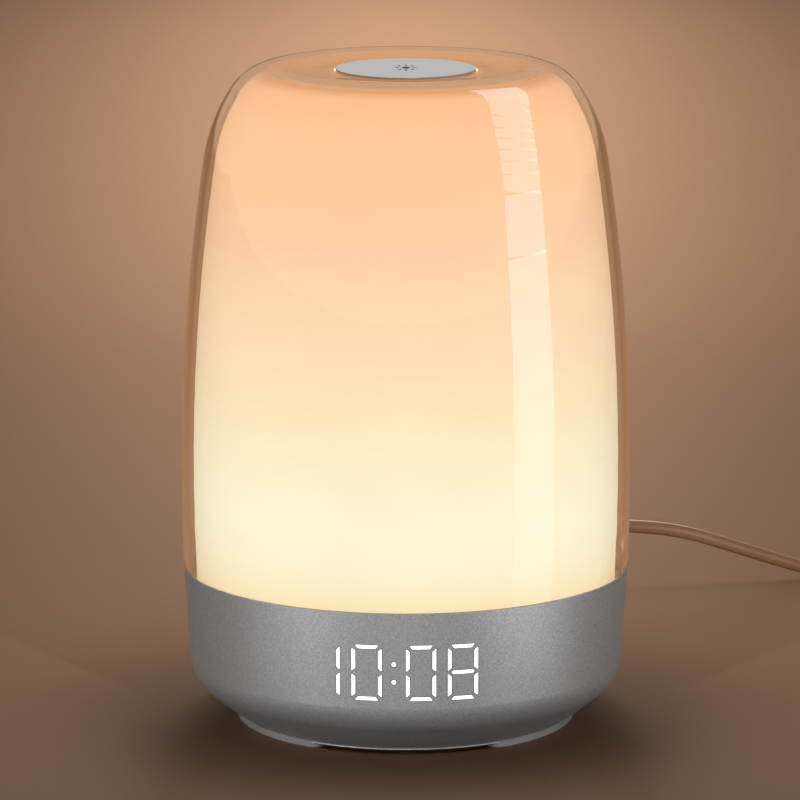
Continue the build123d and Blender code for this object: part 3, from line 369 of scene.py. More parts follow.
# ------------------------------------------------------------------ finishes
class Finish:
    """A material whose shader reads patterns laid out on Object coordinates."""

    def __init__(self, name, **sockets):
        self.material = bpy.data.materials.new(name)
        self.material.use_nodes = True
        self.tree = self.material.node_tree
        self.shader = self.tree.nodes["Principled BSDF"]
        for socket, value in sockets.items():
            self.shader.inputs[socket.replace("_", " ")].default_value = value
        self.place = self.node("ShaderNodeTexCoord").outputs["Object"]

    def node(self, kind, *links, **settings):
        """A new node: links go to its inputs in order, settings to its properties."""
        made = self.tree.nodes.new(kind)
        for name, value in settings.items():
            setattr(made, name, value)
        for i, value in enumerate(links):
            if isinstance(value, bpy.types.NodeSocket):
                self.tree.links.new(value, made.inputs[i])
            elif value is not None:
                made.inputs[i].default_value = value
        return made

    def math(self, operation, a, b=None):
        """One step of arithmetic."""
        return self.node("ShaderNodeMath", a, b, operation=operation).outputs[0]

    def spread(self, stretch):
        """Object coordinates, stretched by a factor along each axis."""
        made = self.node("ShaderNodeMapping", self.place)
        made.inputs["Scale"].default_value = stretch
        return made.outputs[0]

    def noise(self, size, detail=2.0, roughness=0.6, stretch=None):
        """Grain about size metres across."""
        made = self.node("ShaderNodeTexNoise", self.spread(stretch) if stretch else self.place)
        made.inputs["Scale"].default_value = 1.0 / size
        made.inputs["Detail"].default_value = detail
        made.inputs["Roughness"].default_value = roughness
        return made.outputs["Fac"]

    def ramp(self, value, stops):
        """Colours by a value; each stop is a position and a colour or a grey."""
        made = self.node("ShaderNodeValToRGB", value)
        elements = made.color_ramp.elements
        while len(elements) < len(stops):
            elements.new(1.0)
        for element, (position, tint) in zip(elements, stops):
            element.position = position
            tint = (tint,) * 3 if isinstance(tint, (int, float)) else tint
            element.color = (*tint, 1.0)
        return made.outputs["Color"]

    def shift(self, value, low, high, to_low, to_high):
        """A value from low..high brought to to_low..to_high, held at the ends."""
        return self.node("ShaderNodeMapRange", value, low, high, to_low, to_high).outputs[0]

    def blend(self, amount, a, b, mode="MIX"):
        """Colour a towards colour b."""
        made = self.node("ShaderNodeMix", data_type="RGBA", blend_type=mode)
        for name, value in (("Factor_Float", amount), ("A_Color", a), ("B_Color", b)):
            socket = next(s for s in made.inputs if s.identifier == name)
            if isinstance(value, bpy.types.NodeSocket):
                self.tree.links.new(value, socket)
            else:
                socket.default_value = value if name == "Factor_Float" else (*value, 1.0)
        return next(s for s in made.outputs if s.identifier == "Result_Color")

    def feed(self, socket, value):
        """Links a value to a socket of the shader."""
        self.tree.links.new(value, self.shader.inputs[socket])

    def bump(self, height, depth, strength=1.0):
        """Relief from a height pattern, depth metres deep."""
        made = self.node("ShaderNodeBump")
        made.inputs["Strength"].default_value = strength
        made.inputs["Distance"].default_value = depth
        self.tree.links.new(height, made.inputs["Height"])
        self.feed("Normal", made.outputs["Normal"])

    def across(self):
        """Height and distance from the Z axis."""
        axes = self.node("ShaderNodeSeparateXYZ", self.place).outputs
        square = self.math("ADD", self.math("MULTIPLY", axes[0], axes[0]),
                           self.math("MULTIPLY", axes[1], axes[1]))
        return axes[2], self.math("SQRT", square)


def shade(tint, amount):
    """A colour, darker or brighter by a factor."""
    return tuple(min(1.0, c * amount) for c in tint)


def moulded(name, tint, rough=0.5, grain=0.0004, depth=0.00002, vary=0.12, **sockets):
    """Moulded plastic or rubber with a spark-eroded grain and faint flow marks."""
    made = Finish(name, **sockets)
    cloud = made.noise(0.012, detail=3.0)
    tone = made.ramp(cloud, ((0.3, shade(tint, 1 - vary)), (0.7, shade(tint, 1 + vary))))
    fine = made.noise(grain, detail=3.0, roughness=0.7)
    speck = made.ramp(fine, ((0.25, 0.86), (0.75, 1.0)))
    made.feed("Base Color", made.blend(1.0, tone, speck, "MULTIPLY"))
    made.feed("Roughness", made.shift(fine, 0.2, 0.8, rough - 0.08, rough + 0.08))
    made.bump(fine, depth)
    return made.material


def machined(name, tint, rough=0.3, streak=(1.0, 1.0, 1.0), size=0.0003, depth=0.000004, vary=0.1):
    """Bare or plated metal with fine streaks and faint tarnish."""
    made = Finish(name, Metallic=1.0)
    streaks = made.noise(size, detail=4.0, stretch=streak)
    stain = made.noise(0.006, detail=4.0)
    tone = made.ramp(stain, ((0.3, shade(tint, 1 - vary)), (0.7, tint)))
    fine = made.ramp(streaks, ((0.2, 0.88), (0.8, 1.0)))
    made.feed("Base Color", made.blend(1.0, tone, fine, "MULTIPLY"))
    made.feed("Roughness", made.shift(streaks, 0.2, 0.8, rough - 0.07, rough + 0.1))
    made.bump(streaks, depth)
    return made.material


def glowing(name, tint, strength, size=0.002):
    """A lit face, a touch uneven."""
    made = Finish(name, Roughness=0.5)
    made.shader.inputs["Emission Strength"].default_value = strength
    even = made.noise(size)
    tone = made.ramp(even, ((0.2, shade(tint, 0.94)), (0.8, tint)))
    made.feed("Emission Color", tone)
    made.feed("Base Color", tone)
    return made.material


def painted(name, tint, size, dark=0.72):
    """Metallic paint: flakes of mixed brightness under a satin lacquer."""
    made = Finish(name, Metallic=0.7)
    flakes = made.noise(size, detail=2.0, roughness=0.8)
    cloud = made.noise(size * 6, detail=2.0)
    tone = made.ramp(flakes, ((0.30, shade(tint, dark)), (0.5, tint),
                              (0.70, shade(tint, 2.0 - dark))))
    drift = made.ramp(cloud, ((0.3, 0.96), (0.7, 1.0)))
    made.feed("Base Color", made.blend(1.0, tone, drift, "MULTIPLY"))
    made.feed("Roughness", made.shift(flakes, 0.3, 0.7, 0.52, 0.44))
    made.bump(flakes, 0.00002, 0.6)
    return made.material


def board(name, tint):
    """Solder mask over tracks, with a weave under it."""
    made = Finish(name, Roughness=0.35)
    tracks = made.node("ShaderNodeTexBrick", made.place)
    tracks.inputs["Scale"].default_value = 260.0
    tracks.inputs["Mortar Size"].default_value = 0.03
    tracks.inputs["Color1"].default_value = (1.0, 1.0, 1.0, 1.0)
    tracks.inputs["Color2"].default_value = (0.9, 0.9, 0.9, 1.0)
    tracks.inputs["Mortar"].default_value = (0.75, 0.75, 0.75, 1.0)
    weave = made.ramp(made.noise(0.0005), ((0.3, shade(tint, 0.9)), (0.7, tint)))
    made.feed("Base Color", made.blend(1.0, weave, tracks.outputs["Color"], "MULTIPLY"))
    made.bump(tracks.outputs["Fac"], 0.00002, 0.5)
    return made.material


def dress(material, *nodes):
    """Gives CAD nodes a finish, each by its name or the start of its name and a star."""
    for pattern in nodes:
        found = [
            n for n in frame["nodes"]
            if n == pattern or (pattern.endswith("*") and n.startswith(pattern[:-1]))
        ]
        if not found:
            raise RuntimeError(f"no node is named {pattern}")
        for name in found:
            for slot in frame["nodes"][name].material_slots:
                slot.material = material


# ------------------------------------------------------------------ meshes
def keep(name, bm, material, body="root", smooth=False):
    """The finished piece: bm as an object at the origin that rides on a body."""
    bmesh.ops.recalc_face_normals(bm, faces=bm.faces)
    mesh = bpy.data.meshes.new(name)
    bm.to_mesh(mesh)
    bm.free()
    mesh.materials.append(material)
    for face in mesh.polygons:
        face.use_smooth = smooth
    piece = bpy.data.objects.new(name, mesh)
    bpy.context.scene.collection.objects.link(piece)
    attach(piece, body)
    return piece


def flat(bm, corners):
    """A flat face in the XZ plane from its corners in order."""
    return bm.faces.new([bm.verts.new((x, 0.0, z)) for x, z in corners])


def slice_up(bm, step, way):
    """Cuts across a way every step metres, so that a flat mark can follow a round wall."""
    way = Vector(way)
    places = [v.co.dot(way) for v in bm.verts]
    for i in range(math.ceil(min(places) / step), math.floor(max(places) / step) + 1):
        bmesh.ops.bisect_plane(
            bm, geom=bm.verts[:] + bm.edges[:] + bm.faces[:], dist=1e-7,
            plane_co=way * (i * step), plane_no=way,
        )


def lay_on(bm, node, toward, lift):
    """Sends every vertex along toward onto a CAD node's surface and lifts it off by lift."""
    mesh = frame["nodes"][node].data
    surface = BVHTree.FromPolygons(
        [v.co for v in mesh.vertices], [p.vertices for p in mesh.polygons]
    )
    toward = Vector(toward)
    for vertex in bm.verts:
        start = vertex.co - toward
        hit = surface.ray_cast(start, toward)[0]
        if hit is None:
            raise RuntimeError(f"a mark falls beside {node}")
        vertex.co = hit - toward * lift


def thicken(bm, toward, depth):
    """Gives flat marks a small thickness into what carries them."""
    made = bmesh.ops.extrude_face_region(bm, geom=bm.faces[:])
    moved = [g for g in made["geom"] if isinstance(g, bmesh.types.BMVert)]
    bmesh.ops.translate(bm, verts=moved, vec=Vector(toward) * depth)


def disc(bm, x, z, radius, count=24):
    """A flat round face in the XZ plane."""
    bmesh.ops.create_circle(
        bm, cap_ends=True, segments=count, radius=radius,
        matrix=Matrix.Translation((x, 0.0, z)) @ Matrix.Rotation(math.pi / 2, 4, "X"),
    )


def stroke(bm, a, b, line):
    """A flat straight line from a to b in the XZ plane."""
    a, b = Vector(a), Vector(b)
    along = (b - a).normalized() * (line / 2)
    side = Vector((-along.y, along.x))
    flat(bm, [a + side, a - side, b - side, b + side])


def ring(bm, x, z, radius, line, count=32):
    """A flat ring in the XZ plane, radius to the middle of its line."""
    start = bm.verts.new((x + radius - line / 2, 0.0, z))
    end = bm.verts.new((x + radius + line / 2, 0.0, z))
    edge = bm.edges.new((start, end))
    bmesh.ops.spin(
        bm, geom=[start, end, edge], cent=(x, 0.0, z), axis=(0.0, 1.0, 0.0),
        angle=2 * math.pi, steps=count, use_merge=True,
    )


# ------------------------------------------------------------------ operators
class CLOCK_OT_stage(bpy.types.Operator):
    """Sets the camera, the floor, the lamps and the surroundings"""

    bl_idname = "sunrise_clock.stage"
    bl_label = "Stage"
    bl_options = {"REGISTER", "UNDO"}

    def execute(self, context):
        stage = context.scene.sunrise_clock.stage
        scene = context.scene
        scene.view_settings.view_transform = "Standard"
        self.camera(scene, stage)
        floor = self.floor(scene, stage)
        groups = self.groups(floor)
        for name, place, facing, size, power, tint, group in LAMPS:
            lamp = self.area(name, place, facing, size, getattr(stage, power), groups[group])
            lamp.data.color = getattr(stage, tint)
        glow = self.lamp("light round the clock", "POINT", RING_PLACE, stage.ring_power,
                         groups["floor"])
        glow.data.shadow_soft_size = RING_RADIUS
        glow.light_linking.blocker_collection = self.group(
            "shades the clock's light", [frame["nodes"]["base_housing"]], "INCLUDE")
        self.strip(stage, groups["shell"])
        self.surroundings(scene, stage)
        return {"FINISHED"}

    def camera(self, scene, stage):
        """The camera, in front of the clock and looking down on it."""
        data = bpy.data.cameras.new("camera")
        data.lens = stage.camera_lens
        data.sensor_width = stage.camera_sensor
        camera = bpy.data.objects.new("camera", data)
        camera.location = (-stage.camera_aside, -stage.camera_distance, stage.camera_height)
        camera.rotation_euler = (math.pi / 2 - stage.camera_pitch, 0.0, 0.0)
        scene.collection.objects.link(camera)
        scene.camera = camera

    def floor(self, scene, stage):
        """A plain floor that runs back past the camera's view."""
        bm = bmesh.new()
        bmesh.ops.create_grid(bm, x_segments=1, y_segments=1, size=stage.floor_reach)
        made = Finish("plain floor", Roughness=0.75)
        made.shader.inputs["Specular IOR Level"].default_value = 0.15
        tone = made.noise(0.0012, detail=2.0)
        made.feed("Base Color", made.ramp(tone, (
            (0.2, shade(stage.floor_color, 0.97)), (0.8, shade(stage.floor_color, 1.03)))))
        mesh = bpy.data.meshes.new("floor")
        bm.to_mesh(mesh)
        bm.free()
        mesh.materials.append(made.material)
        floor = bpy.data.objects.new("floor", mesh)
        scene.collection.objects.link(floor)
        return floor

    def groups(self, floor):
        """The groups of pieces that the lamps light, by short names."""
        nodes = frame["nodes"]
        cord_nodes = frame["record"]["physics"]["cord_nodes"]
        body = [node for name, node in nodes.items() if name not in cord_nodes]
        shell, diffuser, top = nodes["outer_shell"], nodes["diffuser"], nodes["touch_disc"]
        return {
            "floor": self.group("kept from the floor's lamps", body, "EXCLUDE"),
            "base": self.group("kept from the base's lamps", [floor, shell, diffuser, top],
                               "EXCLUDE"),
            "body": self.group("kept from the top lamp", [shell, diffuser], "EXCLUDE"),
            "shell": self.group("lit with the shell", [shell], "INCLUDE"),
            "disc": self.group("lit with the disc", [top], "INCLUDE"),
        }

    def strip(self, stage, receivers):
        """The tall strip on the right: an upright lamp, then short ones round the bend."""
        bend = interpolate_bezier(*STRIP_BEND, STRIP_POINTS)
        start, end = (Vector(way).normalized() for way in STRIP_ACROSS)
        for i, (low, high) in enumerate(zip([Vector(STRIP_FOOT), *bend], bend)):
            part = i / (len(bend) - 1)
            along = high - low
            across = start.lerp(end, part * part)
            wide = STRIP_WIDE[0] + (STRIP_WIDE[1] - STRIP_WIDE[0]) * part ** 3
            lamp = self.area(
                f"strip lamp {i + 1}", (low + high) / 2, along.cross(across),
                (wide, along.length), stage.strip_level * wide * along.length, receivers, along)
            lamp.data.color = stage.strip_color
            lamp.visible_transmission = False
            if i == 0:
                self.fade(lamp.data)

    def fade(self, data):
        """Lets a rectangular lamp grow dim towards its lower end."""
        data.use_nodes = True
        tree = data.node_tree
        place = tree.nodes.new("ShaderNodeNewGeometry")
        axes = tree.nodes.new("ShaderNodeSeparateXYZ")
        level = tree.nodes.new("ShaderNodeMapRange")
        level.interpolation_type = "SMOOTHSTEP"
        for socket, value in STRIP_FADE.items():
            level.inputs[socket].default_value = value
        tree.links.new(place.outputs["Parametric"], axes.inputs[0])
        tree.links.new(axes.outputs[1], level.inputs["Value"])
        tree.links.new(level.outputs[0], tree.nodes["Emission"].inputs["Strength"])

    def group(self, name, pieces, state):
        """A collection that tells a lamp which pieces it lights, or which it doesn't."""
        made = bpy.data.collections.new(name)
        for piece in pieces:
            made.objects.link(piece)
        for member in made.collection_objects:
            member.light_linking.link_state = state
        return made

    def lamp(self, name, kind, place, power, receivers):
        """A lamp that lights only its receivers and that no camera sees."""
        data = bpy.data.lights.new(name, kind)
        data.energy = power
        lamp = bpy.data.objects.new(name, data)
        lamp.location = place
        lamp.visible_camera = False
        lamp.light_linking.receiver_collection = receivers
        bpy.context.scene.collection.objects.link(lamp)
        return lamp

    def area(self, name, place, facing, size, power, receivers, along=NEARLY_UP):
        """A rectangular lamp at a place; its second size runs along a direction."""
        lamp = self.lamp(name, "AREA", place, power, receivers)
        lamp.data.shape = "RECTANGLE"
        lamp.data.size, lamp.data.size_y = size
        back = -Vector(facing).normalized()
        across = Vector(along).cross(back).normalized()
        turn = Matrix((across, back.cross(across), back)).transposed()
        lamp.rotation_euler = turn.to_euler()
        return lamp

    def surroundings(self, scene, stage):
        """Plain surroundings: soft neutral light, and the floor's tone where they are seen."""
        world = bpy.data.worlds.new("surroundings")
        scene.world = world
        world.use_nodes = True
        tree = world.node_tree
        tree.nodes.clear()
        ray = tree.nodes.new("ShaderNodeLightPath")
        seen = ray.outputs["Is Camera Ray"]
        for name in ("Is Glossy Ray", "Is Transmission Ray"):
            either = tree.nodes.new("ShaderNodeMath")
            either.operation = "MAXIMUM"
            tree.links.new(seen, either.inputs[0])
            tree.links.new(ray.outputs[name], either.inputs[1])
            seen = either.outputs[0]
        fill = tree.nodes.new("ShaderNodeBackground")
        fill.inputs["Color"].default_value = (*stage.fill_color, 1.0)
        view = tree.nodes.new("ShaderNodeBackground")
        view.inputs["Color"].default_value = (*stage.sky_color, 1.0)
        mix = tree.nodes.new("ShaderNodeMixShader")
        tree.links.new(seen, mix.inputs[0])
        tree.links.new(fill.outputs[0], mix.inputs[1])
        tree.links.new(view.outputs[0], mix.inputs[2])
        end = tree.nodes.new("ShaderNodeOutputWorld")
        tree.links.new(mix.outputs[0], end.inputs["Surface"])


class CLOCK_OT_power_lead(bpy.types.Operator):
    """Lays the power lead from the jack to its coil and its USB plug"""

    bl_idname = "sunrise_clock.power_lead"
    bl_label = "Power lead"
    bl_options = {"REGISTER", "UNDO"}

    def execute(self, context):
        lead = context.scene.sunrise_clock.lead
        points = [*LEAD_OUT, *self.coil(lead.diameter), *LEAD_END]
        data = bpy.data.curves.new("power lead", "CURVE")
        data.dimensions = "3D"
        data.bevel_depth = lead.diameter / 2
        data.bevel_resolution = 5
        data.resolution_u = 8
        data.use_fill_caps = True
        spline = data.splines.new("NURBS")
        spline.points.add(len(points) - 1)
        for point, place in zip(spline.points, points):
            point.co = (*place, 1.0)
        spline.order_u = 3
        spline.use_endpoint_u = True
        piece = bpy.data.objects.new("lead_jacket", data)
        context.scene.collection.objects.link(piece)
        jacket = moulded("lead jacket", lead.jacket, rough=0.5, grain=0.0006, depth=0.00001)
        data.materials.append(jacket)
        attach(piece, "root")
        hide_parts("power_cord", "cord_coil", "cord_tail")
        grip = moulded("plug grip", shade(lead.jacket, 0.9), rough=0.45, grain=0.0005)
        dress(grip, "dc_plug", "usb_plug")
        dress(machined("plug metal", (0.72, 0.72, 0.70), rough=0.25, streak=(1, 0.1, 1)),
              "dc_barrel", "usb_shell")
        dress(moulded("tie", (0.02, 0.02, 0.02), rough=0.6, grain=0.0003), "cord_tie")
        return {"FINISHED"}

    def coil(self, step):
        """Points round the coil's turns, which lie a step apart."""
        points = []
        turns = len(COIL_TURNS) - LAST_SHORT
        # each change of place comes a point earlier in its turn than the one before
        rate = (TURN_POINTS + 1) / TURN_POINTS
        for i in range(int(turns * TURN_POINTS) + 1):
            place = i / TURN_POINTS * rate
            here = min(int(place), len(COIL_TURNS) - 1)
            after = min(here + 1, len(COIL_TURNS) - 1)
            part = max(0.0, (place - here - CHANGE_START) / (1 - CHANGE_START))
            column, layer = (
                a + (b - a) * part for a, b in zip(COIL_TURNS[here], COIL_TURNS[after])
            )
            radius = (COIL_R + (column - MIDDLE_COLUMN) * step) / math.cos(math.pi / TURN_POINTS)
            angle = math.pi / 2 - 2 * math.pi * i / TURN_POINTS
            points.append((
                COIL_MIDDLE[0] + radius * math.cos(angle),
                COIL_MIDDLE[1] + radius * math.sin(angle),
                COIL_MIDDLE[2] + (layer - MIDDLE_LAYER) * step,
            ))
        return points


class CLOCK_OT_shell(bpy.types.Operator):
    """Finishes the clear outer shell and fills it with a painted glow"""

    bl_idname = "sunrise_clock.shell"
    bl_label = "Clear shell"
    bl_options = {"REGISTER", "UNDO"}

    def execute(self, context):
        light = context.scene.sunrise_clock.light
        made = Finish("clear polished shell", Roughness=light.shell_gloss, IOR=1.49)
        made.shader.inputs["Transmission Weight"].default_value = 1.0
        haze = made.noise(0.02)
        made.feed("Base Color", made.ramp(
            haze, ((0.3, shade(light.clear, 0.995)), (0.7, light.clear))))
        # painted light: a warm volume glow in the clear shell, standing in for the diffuser's
        # light carried in its walls and bright at its edges
        painted_shell_glow = made.node("ShaderNodeEmission", (*light.shell_glow_color, 1.0), light.shell_glow)
        output = next(n for n in made.tree.nodes if n.type == "OUTPUT_MATERIAL")
        made.tree.links.new(painted_shell_glow.outputs[0], output.inputs["Volume"])
        dress(made.material, "outer_shell")
        return {"FINISHED"}


class CLOCK_OT_diffuser(bpy.types.Operator):
    """Lights the opal diffuser, paler where its lamps are near, with painted shade that dims the
    glow in its dished top
    """

    bl_idname = "sunrise_clock.diffuser"
    bl_label = "Diffuser"
    bl_options = {"REGISTER", "UNDO"}

    def execute(self, context):
        light = context.scene.sunrise_clock.light
        made = Finish("lit opal diffuser", Roughness=0.6)
        made.shader.inputs["Specular IOR Level"].default_value = 0.2
        made.shader.inputs["Emission Strength"].default_value = light.glow
        height, radius = made.across()
        span = made.shift(height, GLOW_LOW, GLOW_HIGH, 0.0, 1.0)
        glow = made.ramp(span, [
            ((z - GLOW_LOW) / (GLOW_HIGH - GLOW_LOW), tint) for z, tint in GLOW_STOPS
        ])
        mottle = made.noise(0.025, detail=1.0)
        glow = made.blend(1.0, glow, made.ramp(mottle, ((0.3, 0.975), (0.7, 1.0))), "MULTIPLY")
        # painted shade: inside the dish on top the glow is dimmed by a darker tint, standing in
        # for the shade that the dish's rim throws
        inside = made.shift(radius, *DISH_RADII, 1.0, 0.0)
        dish_shade_mask = made.math("MULTIPLY", inside, made.math("GREATER_THAN", height, DISH_HEIGHT))
        dish_shaded_glow = made.blend(1.0, glow, light.painted_dish_shade, "MULTIPLY")
        made.feed("Emission Color", made.blend(dish_shade_mask, glow, dish_shaded_glow))
        grain = made.noise(0.0006)
        made.feed("Base Color", made.ramp(
            grain, ((0.3, shade(light.opal, 0.95)), (0.7, light.opal))))
        dress(made.material, "diffuser")
        return {"FINISHED"}


class CLOCK_OT_touch_disc(bpy.types.Operator):
    """Finishes the touch disc, its fixings and its brightness mark"""

    bl_idname = "sunrise_clock.touch_disc"
    bl_label = "Touch disc"
    bl_options = {"REGISTER", "UNDO"}

    def execute(self, context):
        touch = context.scene.sunrise_clock.touch
        made = Finish("satin disc", Metallic=0.35)
        fine = made.noise(0.00018, detail=3.0)
        made.feed("Base Color", made.ramp(
            fine, ((0.25, shade(touch.metal, 0.93)), (0.75, touch.metal))))
        made.feed("Roughness", made.shift(fine, 0.2, 0.8, 0.42, 0.55))
        made.bump(fine, 0.000004)
        dress(made.material, "touch_disc")
        steel = machined("plated steel", (0.62, 0.62, 0.60), rough=0.3)
        dress(steel, "clamp_washer", "stud_nut")
        dress(moulded("washer plastic", (0.03, 0.03, 0.03)), "spacer_washer")
        dress(moulded("red wire", (0.45, 0.03, 0.02), rough=0.4), "touch_lead", "led_lead",
              "speaker_lead")
        dress(moulded("socket plastic", (0.72, 0.70, 0.62), rough=0.4), "touch_socket",
              "led_header", "board_sockets")

        bm = bmesh.new()
        outer = touch.mark_width / 2
        disc(bm, 0.0, 0.0, outer * MARK_HUB, count=32)
        for i in range(RAYS):
            angle = 2 * math.pi / RAYS * i
            way = Vector((math.cos(angle), math.sin(angle)))
            stroke(bm, way * outer * RAY_START, way * outer, outer * RAY_WIDTH)
        bmesh.ops.rotate(bm, verts=bm.verts, cent=(0, 0, 0),
                         matrix=Matrix.Rotation(-math.pi / 2, 3, "X"))
        bmesh.ops.scale(bm, verts=bm.verts, vec=(1.0, touch.mark_depth, 1.0))
        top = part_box("touch_disc")[1][2]
        bmesh.ops.translate(bm, verts=bm.verts, vec=(0.0, 0.0, top + ABOVE_DISC))
        lay_on(bm, "touch_disc", DOWN, MARK_LIFT)
        thicken(bm, DOWN, MARK_THICK)
        ink = moulded("mark ink", (0.010, 0.010, 0.010), rough=0.8, grain=0.0002,
                      depth=0.000002, Specular_IOR_Level=0.05)
        keep("brightness_mark", bm, ink)
        return {"FINISHED"}


class CLOCK_OT_base(bpy.types.Operator):
    """Paints the base housing with fine metallic flake"""

    bl_idname = "sunrise_clock.base"
    bl_label = "Base"
    bl_options = {"REGISTER", "UNDO"}

    def execute(self, context):
        base = context.scene.sunrise_clock.base
        dress(painted("flake paint", base.paint, base.flake_size), "base_housing")
        return {"FINISHED"}


class CLOCK_OT_digits(bpy.types.Operator):
    """Lights the display's digits and colon on the base's wall"""

    bl_idname = "sunrise_clock.digits"
    bl_label = "Digits"
    bl_options = {"REGISTER", "UNDO"}

    def execute(self, context):
        display = context.scene.sunrise_clock.display
        base = context.scene.sunrise_clock.base
        halo = painted("paint round the digits", shade(base.paint, display.halo_shade),
                       base.flake_size)
        self.show("digit_halo", display, display.halo, display.lift * display.halo_lift, halo)
        lit = glowing("lit bar", display.lit, display.brightness)
        self.show("lit_digits", display, 0.0, display.lift, lit)
        return {"FINISHED"}

    def show(self, name, display, grow, lift, material):
        """The lit bars and dots as one thin piece, grown by a margin all round."""
        bm = bmesh.new()
        places = (-display.far_step, -display.near_step, display.near_step, display.far_step)
        for figure, x in zip(TIME_SHOWN, places):
            for bar in BARS_OF[figure]:
                self.bar(bm, bar, display.middle_x + x, display, grow)
        for way in (-1, 1):
            z = display.middle_z + way * display.dot_step / 2
            disc(bm, display.middle_x, z, display.dot + grow)
        slice_up(bm, display.bar * CUT_ACROSS, (1.0, 0.0, 0.0))
        slice_up(bm, display.bar * CUT_UP, (0.0, 0.0, 1.0))
        lay_on(bm, "base_housing", BACKWARD, lift)
        thicken(bm, BACKWARD, lift + display.sink)
        keep(name, bm, material)

    def bar(self, bm, which, x, display, grow):
        """One bar: an outer one, longer at its outer edge, or the middle one, pointed."""
        half_bar = display.bar / 2
        half_w = display.digit_width / 2 - half_bar
        quarter_h = (display.digit_height / 2 - half_bar) / 2
        place, turn = BAR_PLACES[which]
        tip = (quarter_h if place[0] else half_w) - display.bar_gap / 2 + grow
        half = half_bar + grow
        if which == "g":
            shoulder = tip - half
            corners = [(-tip, 0), (-shoulder, half), (shoulder, half),
                       (tip, 0), (shoulder, -half), (-shoulder, -half)]
        else:
            short = tip - display.mitre
            corners = [(-tip, half), (tip, half), (short, -half), (-short, -half)]
        spin = Matrix.Rotation(math.radians(turn), 2)
        middle = Vector((x + place[0] * half_w, display.middle_z + place[1] * quarter_h))
        flat(bm, [middle + spin @ Vector(corner) for corner in corners])


class CLOCK_OT_buttons(bpy.types.Operator):
    """Finishes the push buttons and puts a plain mark on each"""

    bl_idname = "sunrise_clock.buttons"
    bl_label = "Buttons"
    bl_options = {"REGISTER", "UNDO"}

    def execute(self, context):
        controls = context.scene.sunrise_clock.controls
        dress(moulded("button plastic", controls.cap, rough=0.45, grain=0.0003), "button_*")
        dress(moulded("plunger plastic", (0.02, 0.02, 0.02)), "plunger_*")
        ink = moulded("pale mark", controls.mark, rough=0.55, grain=0.0002, depth=0.000002)
        for name in BUTTONS:
            low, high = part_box(f"button_{name}")
            middle = ((low[0] + high[0]) / 2, (low[2] + high[2]) / 2)
            bm = bmesh.new()
            getattr(self, name)(bm, controls.mark_size / 2, controls.mark_line)
            # seen from behind, so the mark's own left is on the right
            bmesh.ops.scale(bm, verts=bm.verts, vec=(-1.0, 1.0, 1.0))
            bmesh.ops.translate(bm, verts=bm.verts, vec=(middle[0], 0.0, middle[1]))
            for vertex in bm.verts:
                vertex.co.y = BEHIND_BUTTONS
            lay_on(bm, f"button_{name}", FORWARD, MARK_LIFT)
            thicken(bm, FORWARD, MARK_THICK)
            keep(f"mark_{name}", bm, ink, body=f"button_{name}")
        return {"FINISHED"}

    def time(self, bm, half, line):
        """A clock's face with two hands."""
        ring(bm, 0.0, 0.0, half - line / 2, line)
        stroke(bm, (0.0, -line / 2), (0.0, half * 0.62), line)
        stroke(bm, (0.0, 0.0), (half * 0.45, 0.0), line)

    def alarm(self, bm, half, line):
        """A bell with its clapper."""
        side = [(0.18, 0.62), (0.42, 0.5), (0.55, 0.2), (0.6, -0.2), (0.85, -0.55)]
        right = [(x * half, z * half) for x, z in side]
        flat(bm, right[::-1] + [(-x, z) for x, z in right])
        disc(bm, 0.0, half * 0.78, half * 0.14)
        disc(bm, 0.0, -half * 0.8, half * 0.17)

    def minus(self, bm, half, line):
        """A minus sign."""
        stroke(bm, (-half * 0.8, 0.0), (half * 0.8, 0.0), line)

    def plus(self, bm, half, line):
        """A plus sign, its upright in two halves beside the level line."""
        stroke(bm, (-half * 0.8, 0.0), (half * 0.8, 0.0), line)
        stroke(bm, (0.0, line / 2), (0.0, half * 0.8), line)
        stroke(bm, (0.0, -line / 2), (0.0, -half * 0.8), line)

    def sound(self, bm, half, line):
        """A quaver."""
        disc(bm, -half * 0.25, -half * 0.6, half * 0.3)
        stroke(bm, (0.0, -half * 0.6), (0.0, half * 0.85), line)
        stroke(bm, (0.0, half * 0.72), (half * 0.6, half * 0.3), line * 1.3)


class CLOCK_OT_underside(bpy.types.Operator):
    """Finishes the cover, its screws and the feet"""

    bl_idname = "sunrise_clock.underside"
    bl_label = "Underside"
    bl_options = {"REGISTER", "UNDO"}

    def execute(self, context):
        base = context.scene.sunrise_clock.base
        dress(moulded("cover plastic", base.cover, rough=0.6, grain=0.0005, depth=0.00004),
              "bottom_cover")
        dress(moulded("foot rubber", base.rubber, rough=0.62, grain=0.0003), "foot_*")
        dress(machined("screw steel", (0.5, 0.5, 0.49), rough=0.32), "cover_screws",
              "deck_screws", "board_screws")
        return {"FINISHED"}


